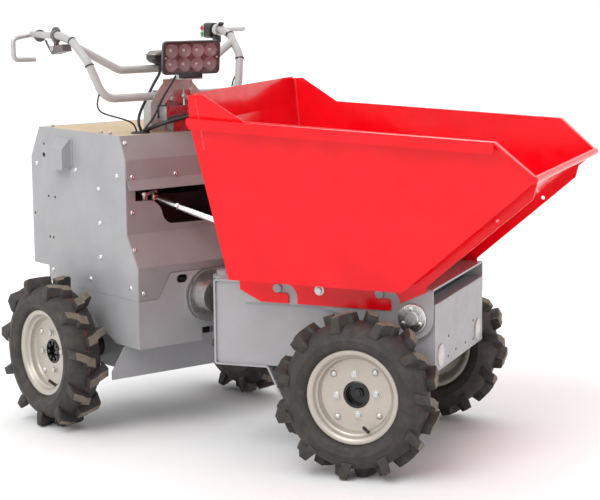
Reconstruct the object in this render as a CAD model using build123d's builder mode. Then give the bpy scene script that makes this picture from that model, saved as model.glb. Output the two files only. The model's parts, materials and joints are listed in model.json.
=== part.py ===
from build123d import *
import os
from math import cos, sin, radians, sqrt, tan

os.makedirs("parts", exist_ok=True)

# ---------------------------------------------------------------------------
# Articulated walk-behind site dumper.  All sizes in millimetres.
# The front frame points along +X.  The rear frame is hinged to it at the
# steering pivot and stands turned by steer_angle.  Z = 0 is the ground.
# ---------------------------------------------------------------------------
steer_angle = 31.4        # rest angle of the front frame, left of the rear frame

# wheels
wheel_r = 207.5           # outer radius over the lugs
tyre_w = 112              # tyre section width
rim_r = 118.8             # rim flange radius
bead_r = 101.6            # bead seat radius
rim_half = 36.2           # half of the rim's width over its flanges
rim_t = 4                 # pressed rim thickness
disc_inset = 36           # wheel disc, inside the outer flange
disc_hole_r = 33
hub_r = 45
half_shaft_r = 14
shaft_fit = 0.05          # radial running clearance of every shaft in its bore
seat_gap = 0.3            # clearance between pieces that sit against each other

# front frame
front_axle_x = 485
front_half = 223.5        # half width over the side plates
side_t = 4
tray_t = 5
tray_lip = 6              # the tray stands proud of the side plates
tray_drop = 3             # tray top, below the tipping frame's top
tray_x0 = 65              # rear face, ahead of the steering pivot
deck_over_tyre = 47       # top of the tipping frame above the tyres
chassis_depth = 226
nose_x = 655
nose_drop = 40            # nose plate top, below the tipping frame's top
nose_depth = 172
belly_x0, belly_x1, belly_x2 = 210, 264, 400
belly_drop = 82           # belly pan below the axle centre

# tipping frame and its pivot
flange_gap = 6
tip_t = 5
tip_x0, tip_x1 = 150, 653
tip_x = 600               # pivot, ahead of the steering pivot
tip_drop = 74             # pivot below the tipping frame's top
tip_shaft_r = 12.5
tip_disc_r = 34.5
hook_pin_r = 11
hook_pin_x = (245, 516)
hook_pin_drop = 16
runner_t = 5

# skip
skip_t = 4
skip_side_t = 3
skip_half = 300           # half width at the floor
skip_flare = 0.11         # widening per unit of height
skip_floor_rear, skip_floor_front = 141, 592
skip_back_x, skip_back_bend = 66, 403
skip_back_h = 480         # back wall top, above the tipping frame's top
skip_lip_x, skip_lip_h = 930, 291
skip_rim_h_rear, skip_rim_h_front = 419, 378
skip_rim_x0, skip_rim_x1 = 56, 837
rim_fold = 363            # outer face of the folded rim
rim_fold_h = 27
lip_r = 9

# steering pivot
pivot_z = 366
yoke_t = 12
yoke_half = 32
yoke_gap = 104            # between the yoke's plates
pin_r = 15
knuckle_gap = 4           # between the knuckle and each plate of the yoke
arm_r = 58                # tie rod arm radius about the pivot
arm_z = 551               # tie rod ball on the front frame
rod_ball = (-190, -99.5, 630.6)   # tie rod ball on the rear frame's steering arm
rod_r = 8
eye_r = 13
eye_h = 14
stud_r = 5

# rear frame
rear_axle_u = -358
rear_half = 224
panel_t = 3
body_base = 240
body_seam = 370
body_top = 808
body_back, body_back_top = -626, -577
body_front_top, body_front, body_nose = -159, -132, -82
board_t = 12
bearing_r = 73
hub_tube_r = 44           # hub between the bearing and the knuckle
slot_v, slot_z = 82, 418   # slots in the lower cover
notch_top = 276           # notch in the lower cover
cheek_half = 182
cheek_t = 6
belly_u = -165
casing_r = 74
tube_r = 32

# handlebar and console, in the rear frame
bar_r = 11
cross_r = 10.8
bar_u, bar_z = -230, 902
lamp_w, lamp_h, lamp_d = 168, 91, 45
lamp_rim, lamp_corner = 12, 10
lamp_place = (-140, 3, 1006.7)
lamp_yaw, lamp_tilt = 11, 7      # lamp turned to the right and nodded down
lens_t = 6
post_u = -205             # front face of the console post
clamp_h = 28
shelf_z = 948             # underside of the lamp shelf
shelf_u = -140            # front of the lamp shelf
tray_z = 838              # underside of the console tray
grip_v, grip_z = 270, 1069
bar_end_u = -404
guard_r = 7
cross_u, cross_z = -277, 974
pod_z = 1000              # underside of the display pod

# derived
c, s = cos(radians(steer_angle)), sin(radians(steer_angle))
axle_z = wheel_r
deck = 2 * wheel_r + deck_over_tyre
chassis_z0 = deck - chassis_depth
tray_half = front_half + tray_lip
tray_under = deck - tray_drop - tray_t
tip_in = front_half + flange_gap
tip_out = tip_in + tip_t
runner_out = tip_out + runner_t
wheel_y = runner_out + 31 + tyre_w / 2
rim_out = wheel_y + rim_half
tip_z = deck - tip_drop
tube_end = wheel_y - tyre_w / 2 - 18.5
hub_in = tube_end + 10
belly_z = axle_z - belly_drop
inner_half = rear_half - panel_t
board_z = body_top - 14 + board_t

FRONT = Plane.XY
REAR = Plane(origin=(0, 0, 0), x_dir=(c, -s, 0), z_dir=(0, 0, 1))
REAR_MIRROR = Plane(origin=(0, 0, 0), x_dir=(c, -s, 0), z_dir=(s, c, 0))


def side_plane(frame, y):
    """Upright plane along the frame at y: local x forward, local y up, normal to the right."""
    return Plane(origin=frame.from_local_coords((0, y, 0)), x_dir=frame.x_dir, z_dir=-frame.y_dir)


def cross_plane(frame, x):
    """Upright plane across the frame at x: local x left, local y up, normal forward."""
    return Plane(origin=frame.from_local_coords((x, 0, 0)), x_dir=frame.y_dir, z_dir=frame.x_dir)


def level_plane(frame, z):
    """Level plane at z: local x forward, local y left, normal up."""
    return Plane(origin=frame.from_local_coords((0, 0, z)), x_dir=frame.x_dir, z_dir=frame.z_dir)


def in_frame(frame, *points):
    return [frame.from_local_coords(p) for p in points]


pieces = {}


def keep(builder, name):
    builder.part.label = name
    pieces[name] = builder.part


def round_bar(points, radii, r):
    """Round bar of radius r along a path of straight runs and tangent arcs."""
    with BuildPart() as bar:
        with BuildLine() as path:
            if len(points) > 2:
                FilletPolyline(*points, radius=radii)
            else:
                Line(*points)
        with BuildSketch(Plane(origin=path.line @ 0, z_dir=path.line % 0)):
            Circle(r)
        sweep(path=path.line)
    return bar.part


# ---------------------------------------------------------------------------
# Front frame
# ---------------------------------------------------------------------------
with BuildPart() as front_tray:
    with BuildSketch(side_plane(FRONT, tray_half)):
        with BuildLine():
            FilletPolyline((tip_x0 - 12, deck - tray_drop), (tray_x0, deck - tray_drop),
                           (tray_x0, chassis_z0), (belly_x0, chassis_z0), (belly_x1, belly_z),
                           (belly_x2, belly_z), radius=8)
            offset(amount=tray_t, side=Side.LEFT, closed=True)
        make_face()
    extrude(amount=2 * tray_half)
keep(front_tray, "front_tray")

with BuildPart() as front_frame:
    with BuildSketch(side_plane(FRONT, -front_half + side_t)):
        with BuildLine():
            Polyline((tray_x0 + tray_t, tray_under - 6), (tray_x0 + tray_t + 6, tray_under),
                     (tip_x0 - 10, tray_under), (tip_x0 - 4, deck - 12), (tip_x + 10, deck - 12),
                     (nose_x - 5, deck - nose_drop), (nose_x - 5, deck - nose_drop - nose_depth),
                     (front_axle_x + 85, chassis_z0 + 6), (front_axle_x + 65, axle_z - 50),
                     (front_axle_x - 65, axle_z - 50), (front_axle_x - 85, chassis_z0 + tray_t),
                     (tray_x0 + tray_t + 6, chassis_z0 + tray_t),
                     (tray_x0 + tray_t, chassis_z0 + tray_t + 6), close=True)
        make_face()
        with Locations((front_axle_x, axle_z)):
            Circle(tube_r + seat_gap, mode=Mode.SUBTRACT)
        with Locations((tip_x, tip_z)):
            Circle(tip_shaft_r + seat_gap, mode=Mode.SUBTRACT)
    extrude(amount=side_t)
    mirror(about=Plane.XZ)
    # slotted web under the front of the tipping frame
    with BuildSketch(cross_plane(FRONT, tip_x - 28)):
        with Locations((0, deck - 40)):
            Rectangle(2 * (front_half - side_t), 52)
            Rectangle(230, 10, mode=Mode.SUBTRACT)
        with Locations((-front_half + side_t + 35, deck - 26)):
            Rectangle(60, 20, mode=Mode.SUBTRACT)
    extrude(amount=side_t)
    # rear cross bar with the two pads that the tipping frame lies on
    with BuildSketch(level_plane(FRONT, deck - 24)):
        with Locations((tip_x0 + 35, 0)):
            Rectangle(30, 2 * (front_half - side_t))
    extrude(amount=12)
    with BuildSketch(level_plane(FRONT, deck - 12)):
        with Locations((tip_x0 + 35, -150), (tip_x0 + 35, 150)):
            Circle(12)
    extrude(amount=12 - tip_t - seat_gap)
keep(front_frame, "front_frame")

with BuildPart() as nose_plate:
    with BuildSketch(cross_plane(FRONT, nose_x - tray_t)):
        with Locations((0, deck - nose_drop - nose_depth / 2)):
            Rectangle(2 * front_half, nose_depth)
    extrude(amount=tray_t)
    with BuildSketch(level_plane(FRONT, deck - nose_drop - tray_t)):
        with Locations((nose_x - 22, 0)):
            Rectangle(42, 2 * (front_half - side_t))
    extrude(amount=tray_t)
    front_top = nose_plate.edges().filter_by(Axis.Y).group_by(Axis.Z)[-1].sort_by(Axis.X)[-1]
    fillet(front_top, 3)
keep(nose_plate, "nose_plate")


def drive_axle(frame, x, motor_dir):
    """Axle tube, differential casing and motor.  The half shafts turn in the tube's ends."""
    with BuildPart() as axle:
        with BuildSketch(side_plane(frame, tube_end)):
            with Locations((x, axle_z)):
                Circle(tube_r)
        extrude(amount=2 * tube_end)
        with BuildSketch(level_plane(frame, axle_z)):
            with BuildLine():
                Polyline((x, -90), (x + tube_r + 2, -90), (x + casing_r, -48), (x + casing_r, 48),
                         (x + tube_r + 2, 90), (x, 90), close=True)
            make_face()
        revolve(axis=Axis(frame.from_local_coords((x, 0, axle_z)), frame.y_dir))
        with BuildSketch(cross_plane(frame, x)):
            with Locations((0, axle_z)):
                Circle(50)
        extrude(amount=motor_dir * 185)
        for y, direction in ((tube_end, 1), (-tube_end, -1)):
            with BuildSketch(side_plane(frame, y)):
                with Locations((x, axle_z)):
                    Circle(half_shaft_r + shaft_fit)
            extrude(amount=direction * 62, mode=Mode.SUBTRACT)
    return axle


front_axle = drive_axle(FRONT, front_axle_x, -1)
keep(front_axle, "front_axle")
rear_axle = drive_axle(REAR, rear_axle_u, -1)
keep(rear_axle, "rear_axle")

with BuildPart() as tip_shaft:
    with BuildSketch(side_plane(FRONT, tip_out + 9)):
        with Locations((tip_x, tip_z)):
            Circle(tip_shaft_r)
    extrude(amount=2 * (tip_out + 9))
keep(tip_shaft, "tip_shaft")

yoke_z = (pivot_z - yoke_gap / 2 - yoke_t, pivot_z + yoke_gap / 2)
with BuildPart() as steering_yoke:
    for z in yoke_z:
        with BuildSketch(level_plane(FRONT, z)):
            Circle(yoke_half)
            with Locations((tray_x0 / 2, 0)):
                Rectangle(tray_x0, 2 * yoke_half)
            with BuildLine():
                Polyline((20, -yoke_half), (20, yoke_half), (tray_x0, yoke_half + 35),
                         (tray_x0, -yoke_half - 35), close=True)
            make_face()
        extrude(amount=yoke_t)
    # steering arm lug and its post on the upper plate
    with BuildSketch(level_plane(FRONT, yoke_z[1])):
        with BuildLine():
            Polyline((-12, 0), (-12, arm_r), (12, arm_r), (40, 20), (40, 0), close=True)
        make_face()
        with Locations((0, arm_r)):
            Circle(12)
    extrude(amount=yoke_t)
    with BuildSketch(level_plane(FRONT, yoke_z[1])):
        with Locations((0, arm_r)):
            Circle(9)
    extrude(amount=arm_z - eye_h / 2 - 2 - yoke_z[1])
    with BuildSketch(level_plane(FRONT, yoke_z[1])):
        with Locations((0, arm_r)):
            Circle(stud_r)
    extrude(amount=arm_z + eye_h / 2 + 14 - yoke_z[1])
    # king pin with its head and nut
    with BuildSketch(level_plane(FRONT, yoke_z[0] - 12)):
        Circle(pin_r)
    extrude(amount=yoke_gap + 2 * yoke_t + 24)
    for z in (yoke_z[0] - 12, yoke_z[1] + yoke_t):
        with BuildSketch(level_plane(FRONT, z)):
            RegularPolygon(24, 6)
        extrude(amount=12)
keep(steering_yoke, "steering_yoke")

# ---------------------------------------------------------------------------
# Tipping frame with its pivot bearings
# ---------------------------------------------------------------------------
with BuildPart() as tip_frame:
    with BuildSketch(side_plane(FRONT, tip_out)):
        with BuildLine():
            Polyline((tip_x0, deck), (tip_x0, deck - 57), (350, deck - 57), (400, deck - 70),
                     (tip_x - 60, tip_z - 44), (tip_x, tip_z - 53))
            RadiusArc((tip_x, tip_z - 53), (tip_x1, tip_z), -53)
            Polyline((tip_x1, tip_z), (tip_x1, deck), (tip_x0, deck))
        make_face()
        with Locations((tip_x, tip_z)):
            Circle(tip_shaft_r + shaft_fit, mode=Mode.SUBTRACT)
    extrude(amount=2 * tip_out)
    with BuildSketch(cross_plane(FRONT, tip_x0 - 1)):
        with Locations((0, deck - tip_t - 100)):
            Rectangle(2 * tip_in, 200)
    extrude(amount=tip_x1 - tip_x0 + 2, mode=Mode.SUBTRACT)
    fillet(tip_frame.edges().filter_by(Axis.X).group_by(Axis.Z)[-1], 7)
    for y, direction in ((-tip_out, 1), (tip_out, -1)):
        with BuildSketch(side_plane(FRONT, y)):
            with Locations(*[(x, deck - hook_pin_drop) for x in hook_pin_x]):
                Circle(hook_pin_r)
        extrude(amount=direction * (runner_t + 3.5))
keep(tip_frame, "tip_frame")

with BuildPart() as tip_bearings:
    for y, direction in ((-tip_out, 1), (tip_out, -1)):
        with BuildSketch(side_plane(FRONT, y)):
            with Locations((tip_x, tip_z)):
                Circle(tip_disc_r)
        extrude(amount=direction * 8)
        with BuildSketch(side_plane(FRONT, y)):
            with Locations((tip_x, tip_z)):
                Circle(16)
        extrude(amount=direction * 14)
        with BuildSketch(side_plane(FRONT, y)):
            with Locations((tip_x, tip_z)):
                Circle(tip_shaft_r + shaft_fit)
        extrude(amount=direction * 10, mode=Mode.SUBTRACT)
keep(tip_bearings, "tip_bearings")

# ---------------------------------------------------------------------------
# Skip
# ---------------------------------------------------------------------------
floor_rear = (skip_floor_rear, deck + 13)
floor_front = (skip_floor_front, deck + 4)
back_bend = (skip_back_x, deck + skip_back_bend)
back_top = (skip_back_x, deck + skip_back_h)
lip = (skip_lip_x, deck + skip_lip_h)
slope_x, slope_z = lip[0] - floor_front[0], lip[1] - floor_front[1]
slope_len = sqrt(slope_x ** 2 + slope_z ** 2)
floor_end = (lip[0] - slope_x / slope_len * lip_r, lip[1] - slope_z / slope_len * lip_r)
rim_rear = (skip_rim_x0, deck + skip_rim_h_rear)
rim_front = (skip_rim_x1, deck + skip_rim_h_front)
flare_scale = sqrt(1 + skip_flare ** 2)
flare_z = deck + 6


def skip_wall_plane(inset):
    """Plane of the right side wall: local x forward, local y up the flared wall, normal outwards."""
    y = -(skip_half - inset * flare_scale)
    return Plane(origin=(0, y, flare_z), x_dir=(1, 0, 0), z_dir=(0, -1, -skip_flare))


def on_wall(point):
    return (point[0], (point[1] - flare_z) * flare_scale)


def wall_y(z):
    return skip_half + (z - flare_z) * skip_flare


with BuildPart() as skip_floor:
    with BuildSketch(side_plane(FRONT, 400)):
        with BuildLine():
            FilletPolyline(back_top, back_bend, floor_rear, floor_front, floor_end, radius=12)
            offset(amount=skip_t, side=Side.LEFT, closed=True)
        make_face()
    extrude(amount=800)
    inner_wall = skip_wall_plane(skip_side_t)
    split(bisect_by=inner_wall, keep=Keep.BOTTOM)
    mirrored_wall = Plane(origin=(0, -inner_wall.origin.Y, inner_wall.origin.Z), x_dir=(1, 0, 0),
                          z_dir=(0, 1, -skip_flare))
    split(bisect_by=mirrored_wall, keep=Keep.BOTTOM)
    with BuildSketch(side_plane(FRONT, 400)):
        with Locations(lip):
            Circle(lip_r)
    extrude(amount=800, mode=Mode.SUBTRACT)
keep(skip_floor, "skip_floor")

with BuildPart() as skip_sides:
    with BuildSketch(skip_wall_plane(skip_side_t)):
        with BuildLine():
            Polyline(*[on_wall(p) for p in (
                (floor_rear[0] - 3, floor_rear[1] - 3), (floor_front[0] + 1, floor_front[1] - 4),
                (lip[0] - 2, lip[1] - 6), (lip[0], lip[1] + 8), rim_front,
                (203, deck + 413), (99, deck + 477), (58, deck + 475), (58, deck + skip_back_bend))],
                close=True)
        make_face()
    extrude(amount=skip_side_t)
    # folded rim: top flange and turned-down edge
    rim_dx, rim_dz = rim_front[0] - rim_rear[0], rim_front[1] - rim_rear[1]
    with BuildSketch(side_plane(FRONT, -wall_y(rim_front[1]) + 1)):
        with BuildLine():
            Polyline(rim_rear, rim_front, (rim_front[0], rim_front[1] - 3), (rim_rear[0], rim_rear[1] - 3),
                     close=True)
        make_face()
    extrude(amount=rim_fold - wall_y(rim_front[1]) + 1)
    with BuildSketch(side_plane(FRONT, -rim_fold + 3)):
        with BuildLine():
            Polyline(rim_rear, rim_front, (rim_front[0] - 3, rim_front[1] - rim_fold_h),
                     (rim_rear[0] + 8, rim_rear[1] - rim_fold_h), (rim_rear[0], rim_rear[1] - 12),
                     close=True)
        make_face()
    extrude(amount=3)
    # flange down the sloping front edge to the lip
    hem = Plane(origin=(rim_front[0], 0, rim_front[1]),
                x_dir=(lip[0] - rim_front[0], 0, lip[1] + 8 - rim_front[1]),
                z_dir=(-(lip[1] + 8 - rim_front[1]), 0, lip[0] - rim_front[0]))
    hem_len = sqrt((lip[0] - rim_front[0]) ** 2 + (lip[1] + 8 - rim_front[1]) ** 2)
    with BuildSketch(hem):
        with BuildLine():
            Polyline((0, -wall_y(rim_front[1]) + 1), (0, -rim_fold), (hem_len, -348),
                     (hem_len, -wall_y(lip[1]) + 1), close=True)
        make_face()
    extrude(amount=-4)
    with BuildSketch(side_plane(FRONT, 400)):
        with Locations(lip):
            Circle(lip_r)
    extrude(amount=800, mode=Mode.SUBTRACT)
    split(bisect_by=skip_wall_plane(skip_side_t), keep=Keep.TOP)
    mirror(about=Plane.XZ)
keep(skip_sides, "skip_sides")

with BuildPart() as skip_lip:
    with BuildSketch(side_plane(FRONT, 347.5)):
        with Locations(lip):
            Circle(lip_r)
    extrude(amount=695)
keep(skip_lip, "skip_lip")

with BuildPart() as skip_runners:
    with BuildSketch(side_plane(FRONT, -tip_out)):
        with BuildLine():
            Polyline((floor_rear[0] + 2, floor_rear[1] - 0.04), floor_front,
                     (floor_front[0] + slope_x * 0.95, floor_front[1] + slope_z * 0.95),
                     (902, deck + 233), (637, deck + 6), (637, deck - 7), (566, deck - 40),
                     (545, deck - 57), (200, deck - 53), (143, deck - 24), close=True)
        make_face()
        for x in hook_pin_x:
            with BuildLine() as slot_path:
                FilletPolyline((x, deck - hook_pin_drop), (x + 42, deck - hook_pin_drop),
                               (x + 42, deck - 75), radius=22)
            trace(slot_path.line, line_width=2 * hook_pin_r + 2, mode=Mode.SUBTRACT)
            with Locations((x, deck - hook_pin_drop)):
                Circle(hook_pin_r + 1, mode=Mode.SUBTRACT)
        with Locations((816, deck + 176)):
            Circle(5, mode=Mode.SUBTRACT)
    extrude(amount=runner_t)
    mirror(about=Plane.XZ)
keep(skip_runners, "skip_runners")

# ---------------------------------------------------------------------------
# Wheels
# ---------------------------------------------------------------------------
wheels = (("front_right", FRONT, front_axle_x, -1), ("front_left", FRONT, front_axle_x, 1),
          ("rear_right", REAR, rear_axle_u, -1), ("rear_left", REAR, rear_axle_u, 1))
for name, frame, x, side in wheels:
    centre = frame.from_local_coords((x, side * wheel_y, axle_z))
    out = side * frame.y_dir
    # section plane: local x outwards along the axle, local y the radius
    section = Plane(origin=centre, x_dir=out, z_dir=frame.x_dir * side)
    axis = Axis(centre, out)
    with BuildPart() as tyre:
        with BuildSketch(section):
            with BuildLine():
                half = tyre_w / 2
                inner = rim_half - rim_t - 0.5
                Polyline((-half + 10, wheel_r), (half - 10, wheel_r), (half - 3, wheel_r - 12))
                ThreePointArc((half - 3, wheel_r - 12), (half, wheel_r - 45), (rim_half + 2, rim_r + 0.5))
                Polyline((rim_half + 2, rim_r + 0.5), (inner, rim_r + 0.5), (inner, bead_r + seat_gap),
                         (-inner, bead_r + seat_gap), (-inner, rim_r + 0.5), (-rim_half - 2, rim_r + 0.5))
                ThreePointArc((-rim_half - 2, rim_r + 0.5), (-half, wheel_r - 45), (-half + 3, wheel_r - 12))
                Line((-half + 3, wheel_r - 12), (-half + 10, wheel_r))
            make_face()
        revolve(axis=axis)
    keep(tyre, f"{name}_tyre")
    with BuildPart() as rim:
        disc = rim_half - disc_inset
        shaft_in = tube_end - 52 - wheel_y
        with BuildSketch(section):
            with BuildLine():
                Polyline((rim_half, bead_r - rim_t), (rim_half, rim_r), (rim_half - rim_t, rim_r),
                         (rim_half - rim_t, bead_r), (-rim_half + rim_t, bead_r), (-rim_half + rim_t, rim_r),
                         (-rim_half, rim_r), (-rim_half, bead_r - rim_t), (disc - rim_t, bead_r - rim_t),
                         (disc - rim_t, hub_r), (hub_in - wheel_y, hub_r), (hub_in - wheel_y, half_shaft_r),
                         (shaft_in, half_shaft_r), (shaft_in, 0), (disc - 2 * rim_t, 0),
                         (disc - 2 * rim_t, disc_hole_r), (disc, disc_hole_r), (disc, bead_r - rim_t),
                         close=True)
            make_face()
        revolve(axis=axis)
    keep(rim, f"{name}_rim")

# ---------------------------------------------------------------------------
# Steering pivot, rear half, and tie rod
# ---------------------------------------------------------------------------
hub_front = body_nose + 46
with BuildPart() as roll_bearing:
    with BuildSketch(level_plane(REAR, pivot_z)):
        with BuildLine():
            Polyline((body_nose, 0), (body_nose, bearing_r), (body_nose + 8, bearing_r),
                     (body_nose + 8, bearing_r - 6), (body_nose + 11, bearing_r - 6),
                     (body_nose + 11, bearing_r - 1), (body_nose + 22, bearing_r - 1),
                     (body_nose + 22, hub_tube_r), (hub_front, hub_tube_r), (hub_front, 0), close=True)
        make_face()
    revolve(axis=Axis((0, 0, pivot_z), REAR.x_dir))
keep(roll_bearing, "roll_bearing")

with BuildPart() as steering_knuckle:
    knuckle_h = yoke_gap - 2 * knuckle_gap
    with BuildSketch(level_plane(REAR, pivot_z - knuckle_h / 2)):
        Circle(28)
    extrude(amount=knuckle_h)
    with BuildSketch(cross_plane(REAR, hub_front)):
        with Locations((0, pivot_z)):
            Rectangle(50, 70)
    extrude(amount=-hub_front)
    with BuildSketch(level_plane(REAR, pivot_z - yoke_gap / 2)):
        Circle(pin_r + shaft_fit)
    extrude(amount=yoke_gap, mode=Mode.SUBTRACT)
keep(steering_knuckle, "steering_knuckle")

# In plan the tie rod, the steering arm and the front frame's arm make a parallelogram.
arm_rest = (-arm_r * s, arm_r * c)
gear_u = rod_ball[0] - arm_rest[0]
gear_v = rod_ball[1] - arm_rest[1]
front_ball = (arm_rest[0], arm_rest[1], arm_z)
with BuildPart() as steering_gearbox:
    with BuildSketch(level_plane(REAR, 520)):
        with Locations((gear_u - 14, (gear_v + 30 - inner_half) / 2)):
            Rectangle(62, inner_half + gear_v + 30)
    extrude(amount=98)
    with BuildSketch(level_plane(REAR, 560)):
        with Locations((gear_u, gear_v)):
            Circle(9 + shaft_fit)
    extrude(amount=60, mode=Mode.SUBTRACT)
keep(steering_gearbox, "steering_gearbox")

arm_plate_z = rod_ball[2] + eye_h / 2 + 6
with BuildPart() as steering_arm:
    with BuildSketch(level_plane(REAR, 566)):
        with Locations((gear_u, gear_v)):
            Circle(9)
    extrude(amount=arm_plate_z + 8 - 566)
    with BuildSketch(level_plane(REAR, arm_plate_z)):
        with Locations((gear_u, gear_v)):
            Circle(16)
        with Locations((rod_ball[0], rod_ball[1])):
            Circle(12)
        with BuildLine():
            Polyline((gear_u - 10, gear_v - 7), (gear_u + 10, gear_v + 7), (rod_ball[0] + 9, rod_ball[1] + 6),
                     (rod_ball[0] - 9, rod_ball[1] - 6), close=True)
        make_face()
    extrude(amount=8)
    with BuildSketch(level_plane(REAR, rod_ball[2] - eye_h / 2 - 8)):
        with Locations((rod_ball[0], rod_ball[1])):
            Circle(stud_r)
    extrude(amount=arm_plate_z - rod_ball[2] + eye_h / 2 + 8)
keep(steering_arm, "steering_arm")

with BuildPart() as tie_rod:
    rod_ends = in_frame(REAR, rod_ball, front_ball)
    add(round_bar(rod_ends, None, rod_r))
    for u, v, z in (rod_ball, front_ball):
        with BuildSketch(level_plane(REAR, z - eye_h / 2)):
            with Locations((u, v)):
                Circle(eye_r)
        extrude(amount=eye_h)
    for u, v, z in (rod_ball, front_ball):
        with BuildSketch(level_plane(REAR, z - 20)):
            with Locations((u, v)):
                Circle(stud_r + (seat_gap if u == rod_ball[0] else shaft_fit))
        extrude(amount=40, mode=Mode.SUBTRACT)
        for dz in (-40 - eye_h / 2, eye_h / 2):
            with BuildSketch(level_plane(REAR, z + dz)):
                with Locations((u, v)):
                    Circle(eye_r + 6)
            extrude(amount=40, mode=Mode.SUBTRACT)
keep(tie_rod, "tie_rod")

# ---------------------------------------------------------------------------
# Rear frame and body panels
# ---------------------------------------------------------------------------
with BuildPart() as rear_frame:
    with BuildSketch(level_plane(REAR, body_seam + 10)):
        with Locations(((-541 - 85) / 2, 0)):
            Rectangle(456, 2 * inner_half)
    extrude(amount=5)
    with BuildSketch(cross_plane(REAR, -95)):
        with Locations((0, (body_base + 10 + 440) / 2)):
            Rectangle(230, 190)
        with Locations((-slot_v, slot_z), (slot_v, slot_z)):
            SlotOverall(44, 30, mode=Mode.SUBTRACT)
        with Locations((0, notch_top - 20)):
            Rectangle(50, 60, mode=Mode.SUBTRACT)
    extrude(amount=10)
    with BuildSketch(side_plane(REAR, -cheek_half + cheek_t)):
        with BuildLine():
            Polyline((-450, body_seam + 10), (-95, body_seam + 10), (-95, 300), (belly_u, 300), (belly_u, 155),
                     (-400, 155), (-450, 230), close=True)
        make_face()
        with Locations((rear_axle_u, axle_z)):
            Circle(tube_r + seat_gap, mode=Mode.SUBTRACT)
    extrude(amount=cheek_t)
    mirror(about=REAR_MIRROR)
    with BuildSketch(cross_plane(REAR, -95)):
        with Locations((0, 341)):
            Rectangle(2 * cheek_half, 83)
    extrude(amount=10)
keep(rear_frame, "rear_frame")

with BuildPart() as belly_plate:
    with BuildSketch(cross_plane(REAR, belly_u)):
        with BuildLine():
            Polyline((-262, 150), (262, 150), (262, 172), (218, body_base - 0.5), (-218, body_base - 0.5),
                     (-262, 172), close=True)
        make_face()
    extrude(amount=5)
keep(belly_plate, "belly_plate")

with BuildPart() as rear_sides:
    with BuildSketch(side_plane(REAR, -inner_half)):
        with BuildLine():
            Polyline((body_back, 720), (body_back_top, body_top), (body_front_top, body_top),
                     (body_front, 744), (body_front, 544), (body_nose, 459), (body_nose, body_seam),
                     (-544, body_seam), (-544, 414), (body_back, 414), close=True)
        make_face()
    extrude(amount=panel_t)
    mirror(about=REAR_MIRROR)
keep(rear_sides, "rear_sides")

with BuildPart() as rear_skirts:
    with BuildSketch(side_plane(REAR, -inner_half)):
        with BuildLine():
            Polyline((-430, body_seam - 0.6), (body_nose, body_seam - 0.6), (body_nose, body_base),
                     (-198, body_base), (-301, 290), (-430, 340), close=True)
        make_face()
    extrude(amount=panel_t)
    mirror(about=REAR_MIRROR)
keep(rear_skirts, "rear_skirts")

with BuildPart() as upper_cover:
    with BuildSketch(side_plane(REAR, inner_half)):
        with BuildLine():
            FilletPolyline((body_front_top, body_top - 1), (body_front, 744), (body_front + 4, 690),
                           (body_front + 16, 664), radius=6)
            offset(amount=panel_t, side=Side.RIGHT, closed=True)
        make_face()
    extrude(amount=2 * inner_half)
keep(upper_cover, "upper_cover")

with BuildPart() as front_cover:
    with BuildSketch(side_plane(REAR, inner_half)):
        with BuildLine():
            FilletPolyline((body_front, 682), (body_front, 544), (body_nose, 459), (body_nose, body_seam + 1),
                           radius=6)
            offset(amount=panel_t, side=Side.RIGHT, closed=True)
        make_face()
    extrude(amount=2 * inner_half)
    # opening that the tie rod passes through
    with BuildSketch(cross_plane(REAR, body_front - 10)):
        with BuildLine():
            Line((-194, 700), (-194, 633))
            Line((-194, 633), (-146, 631))
            ThreePointArc((-146, 631), (-121, 618), (-108, 592))
            ThreePointArc((-108, 592), (-96, 572), (-70, 563))
            Line((-70, 563), (70, 561))
            ThreePointArc((70, 561), (96, 572), (108, 592))
            ThreePointArc((108, 592), (121, 618), (146, 631))
            Line((146, 631), (194, 633))
            Line((194, 633), (194, 700))
            Line((194, 700), (-194, 700))
        make_face()
    extrude(amount=20, mode=Mode.SUBTRACT)
    with BuildSketch(cross_plane(REAR, body_nose - 10)):
        with BuildLine():
            Polyline((-161, body_seam), (-120, 439), (120, 439), (161, body_seam), close=True)
        make_face()
    extrude(amount=20, mode=Mode.SUBTRACT)
keep(front_cover, "front_cover")

with BuildPart() as lower_cover:
    with BuildSketch(cross_plane(REAR, body_nose - panel_t)):
        with BuildLine():
            Polyline((-inner_half, body_base), (-20, body_base), (-20, notch_top), (20, notch_top),
                     (20, body_base),
                     (inner_half, body_base), (inner_half, body_seam), (160, body_seam), (119, 437),
                     (-119, 437), (-160, body_seam), (-inner_half, body_seam), close=True)
        make_face()
        with Locations((-slot_v, slot_z), (slot_v, slot_z)):
            SlotOverall(36, 22, mode=Mode.SUBTRACT)
    extrude(amount=panel_t)
keep(lower_cover, "lower_cover")

with BuildPart() as back_panel:
    with BuildSketch(side_plane(REAR, inner_half)):
        with BuildLine():
            FilletPolyline((-544, body_seam + 1), (-544, 414), (body_back, 414), (body_back, 720),
                           (body_back_top, body_top - 1), radius=4)
            offset(amount=panel_t, side=Side.RIGHT, closed=True)
        make_face()
    extrude(amount=2 * inner_half)
keep(back_panel, "back_panel")

with BuildPart() as top_board:
    with BuildSketch(level_plane(REAR, body_top - 14)):
        with Locations(((body_back_top + body_front_top) / 2 - 2, 0)):
            Rectangle(body_front_top - body_back_top - 14, 2 * inner_half)
    extrude(amount=board_t)
keep(top_board, "top_board")

with BuildPart() as battery:
    with BuildSketch(level_plane(REAR, body_seam + 15)):
        with Locations((-400, 0)):
            Rectangle(270, 360)
    extrude(amount=240)
keep(battery, "battery")

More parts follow.
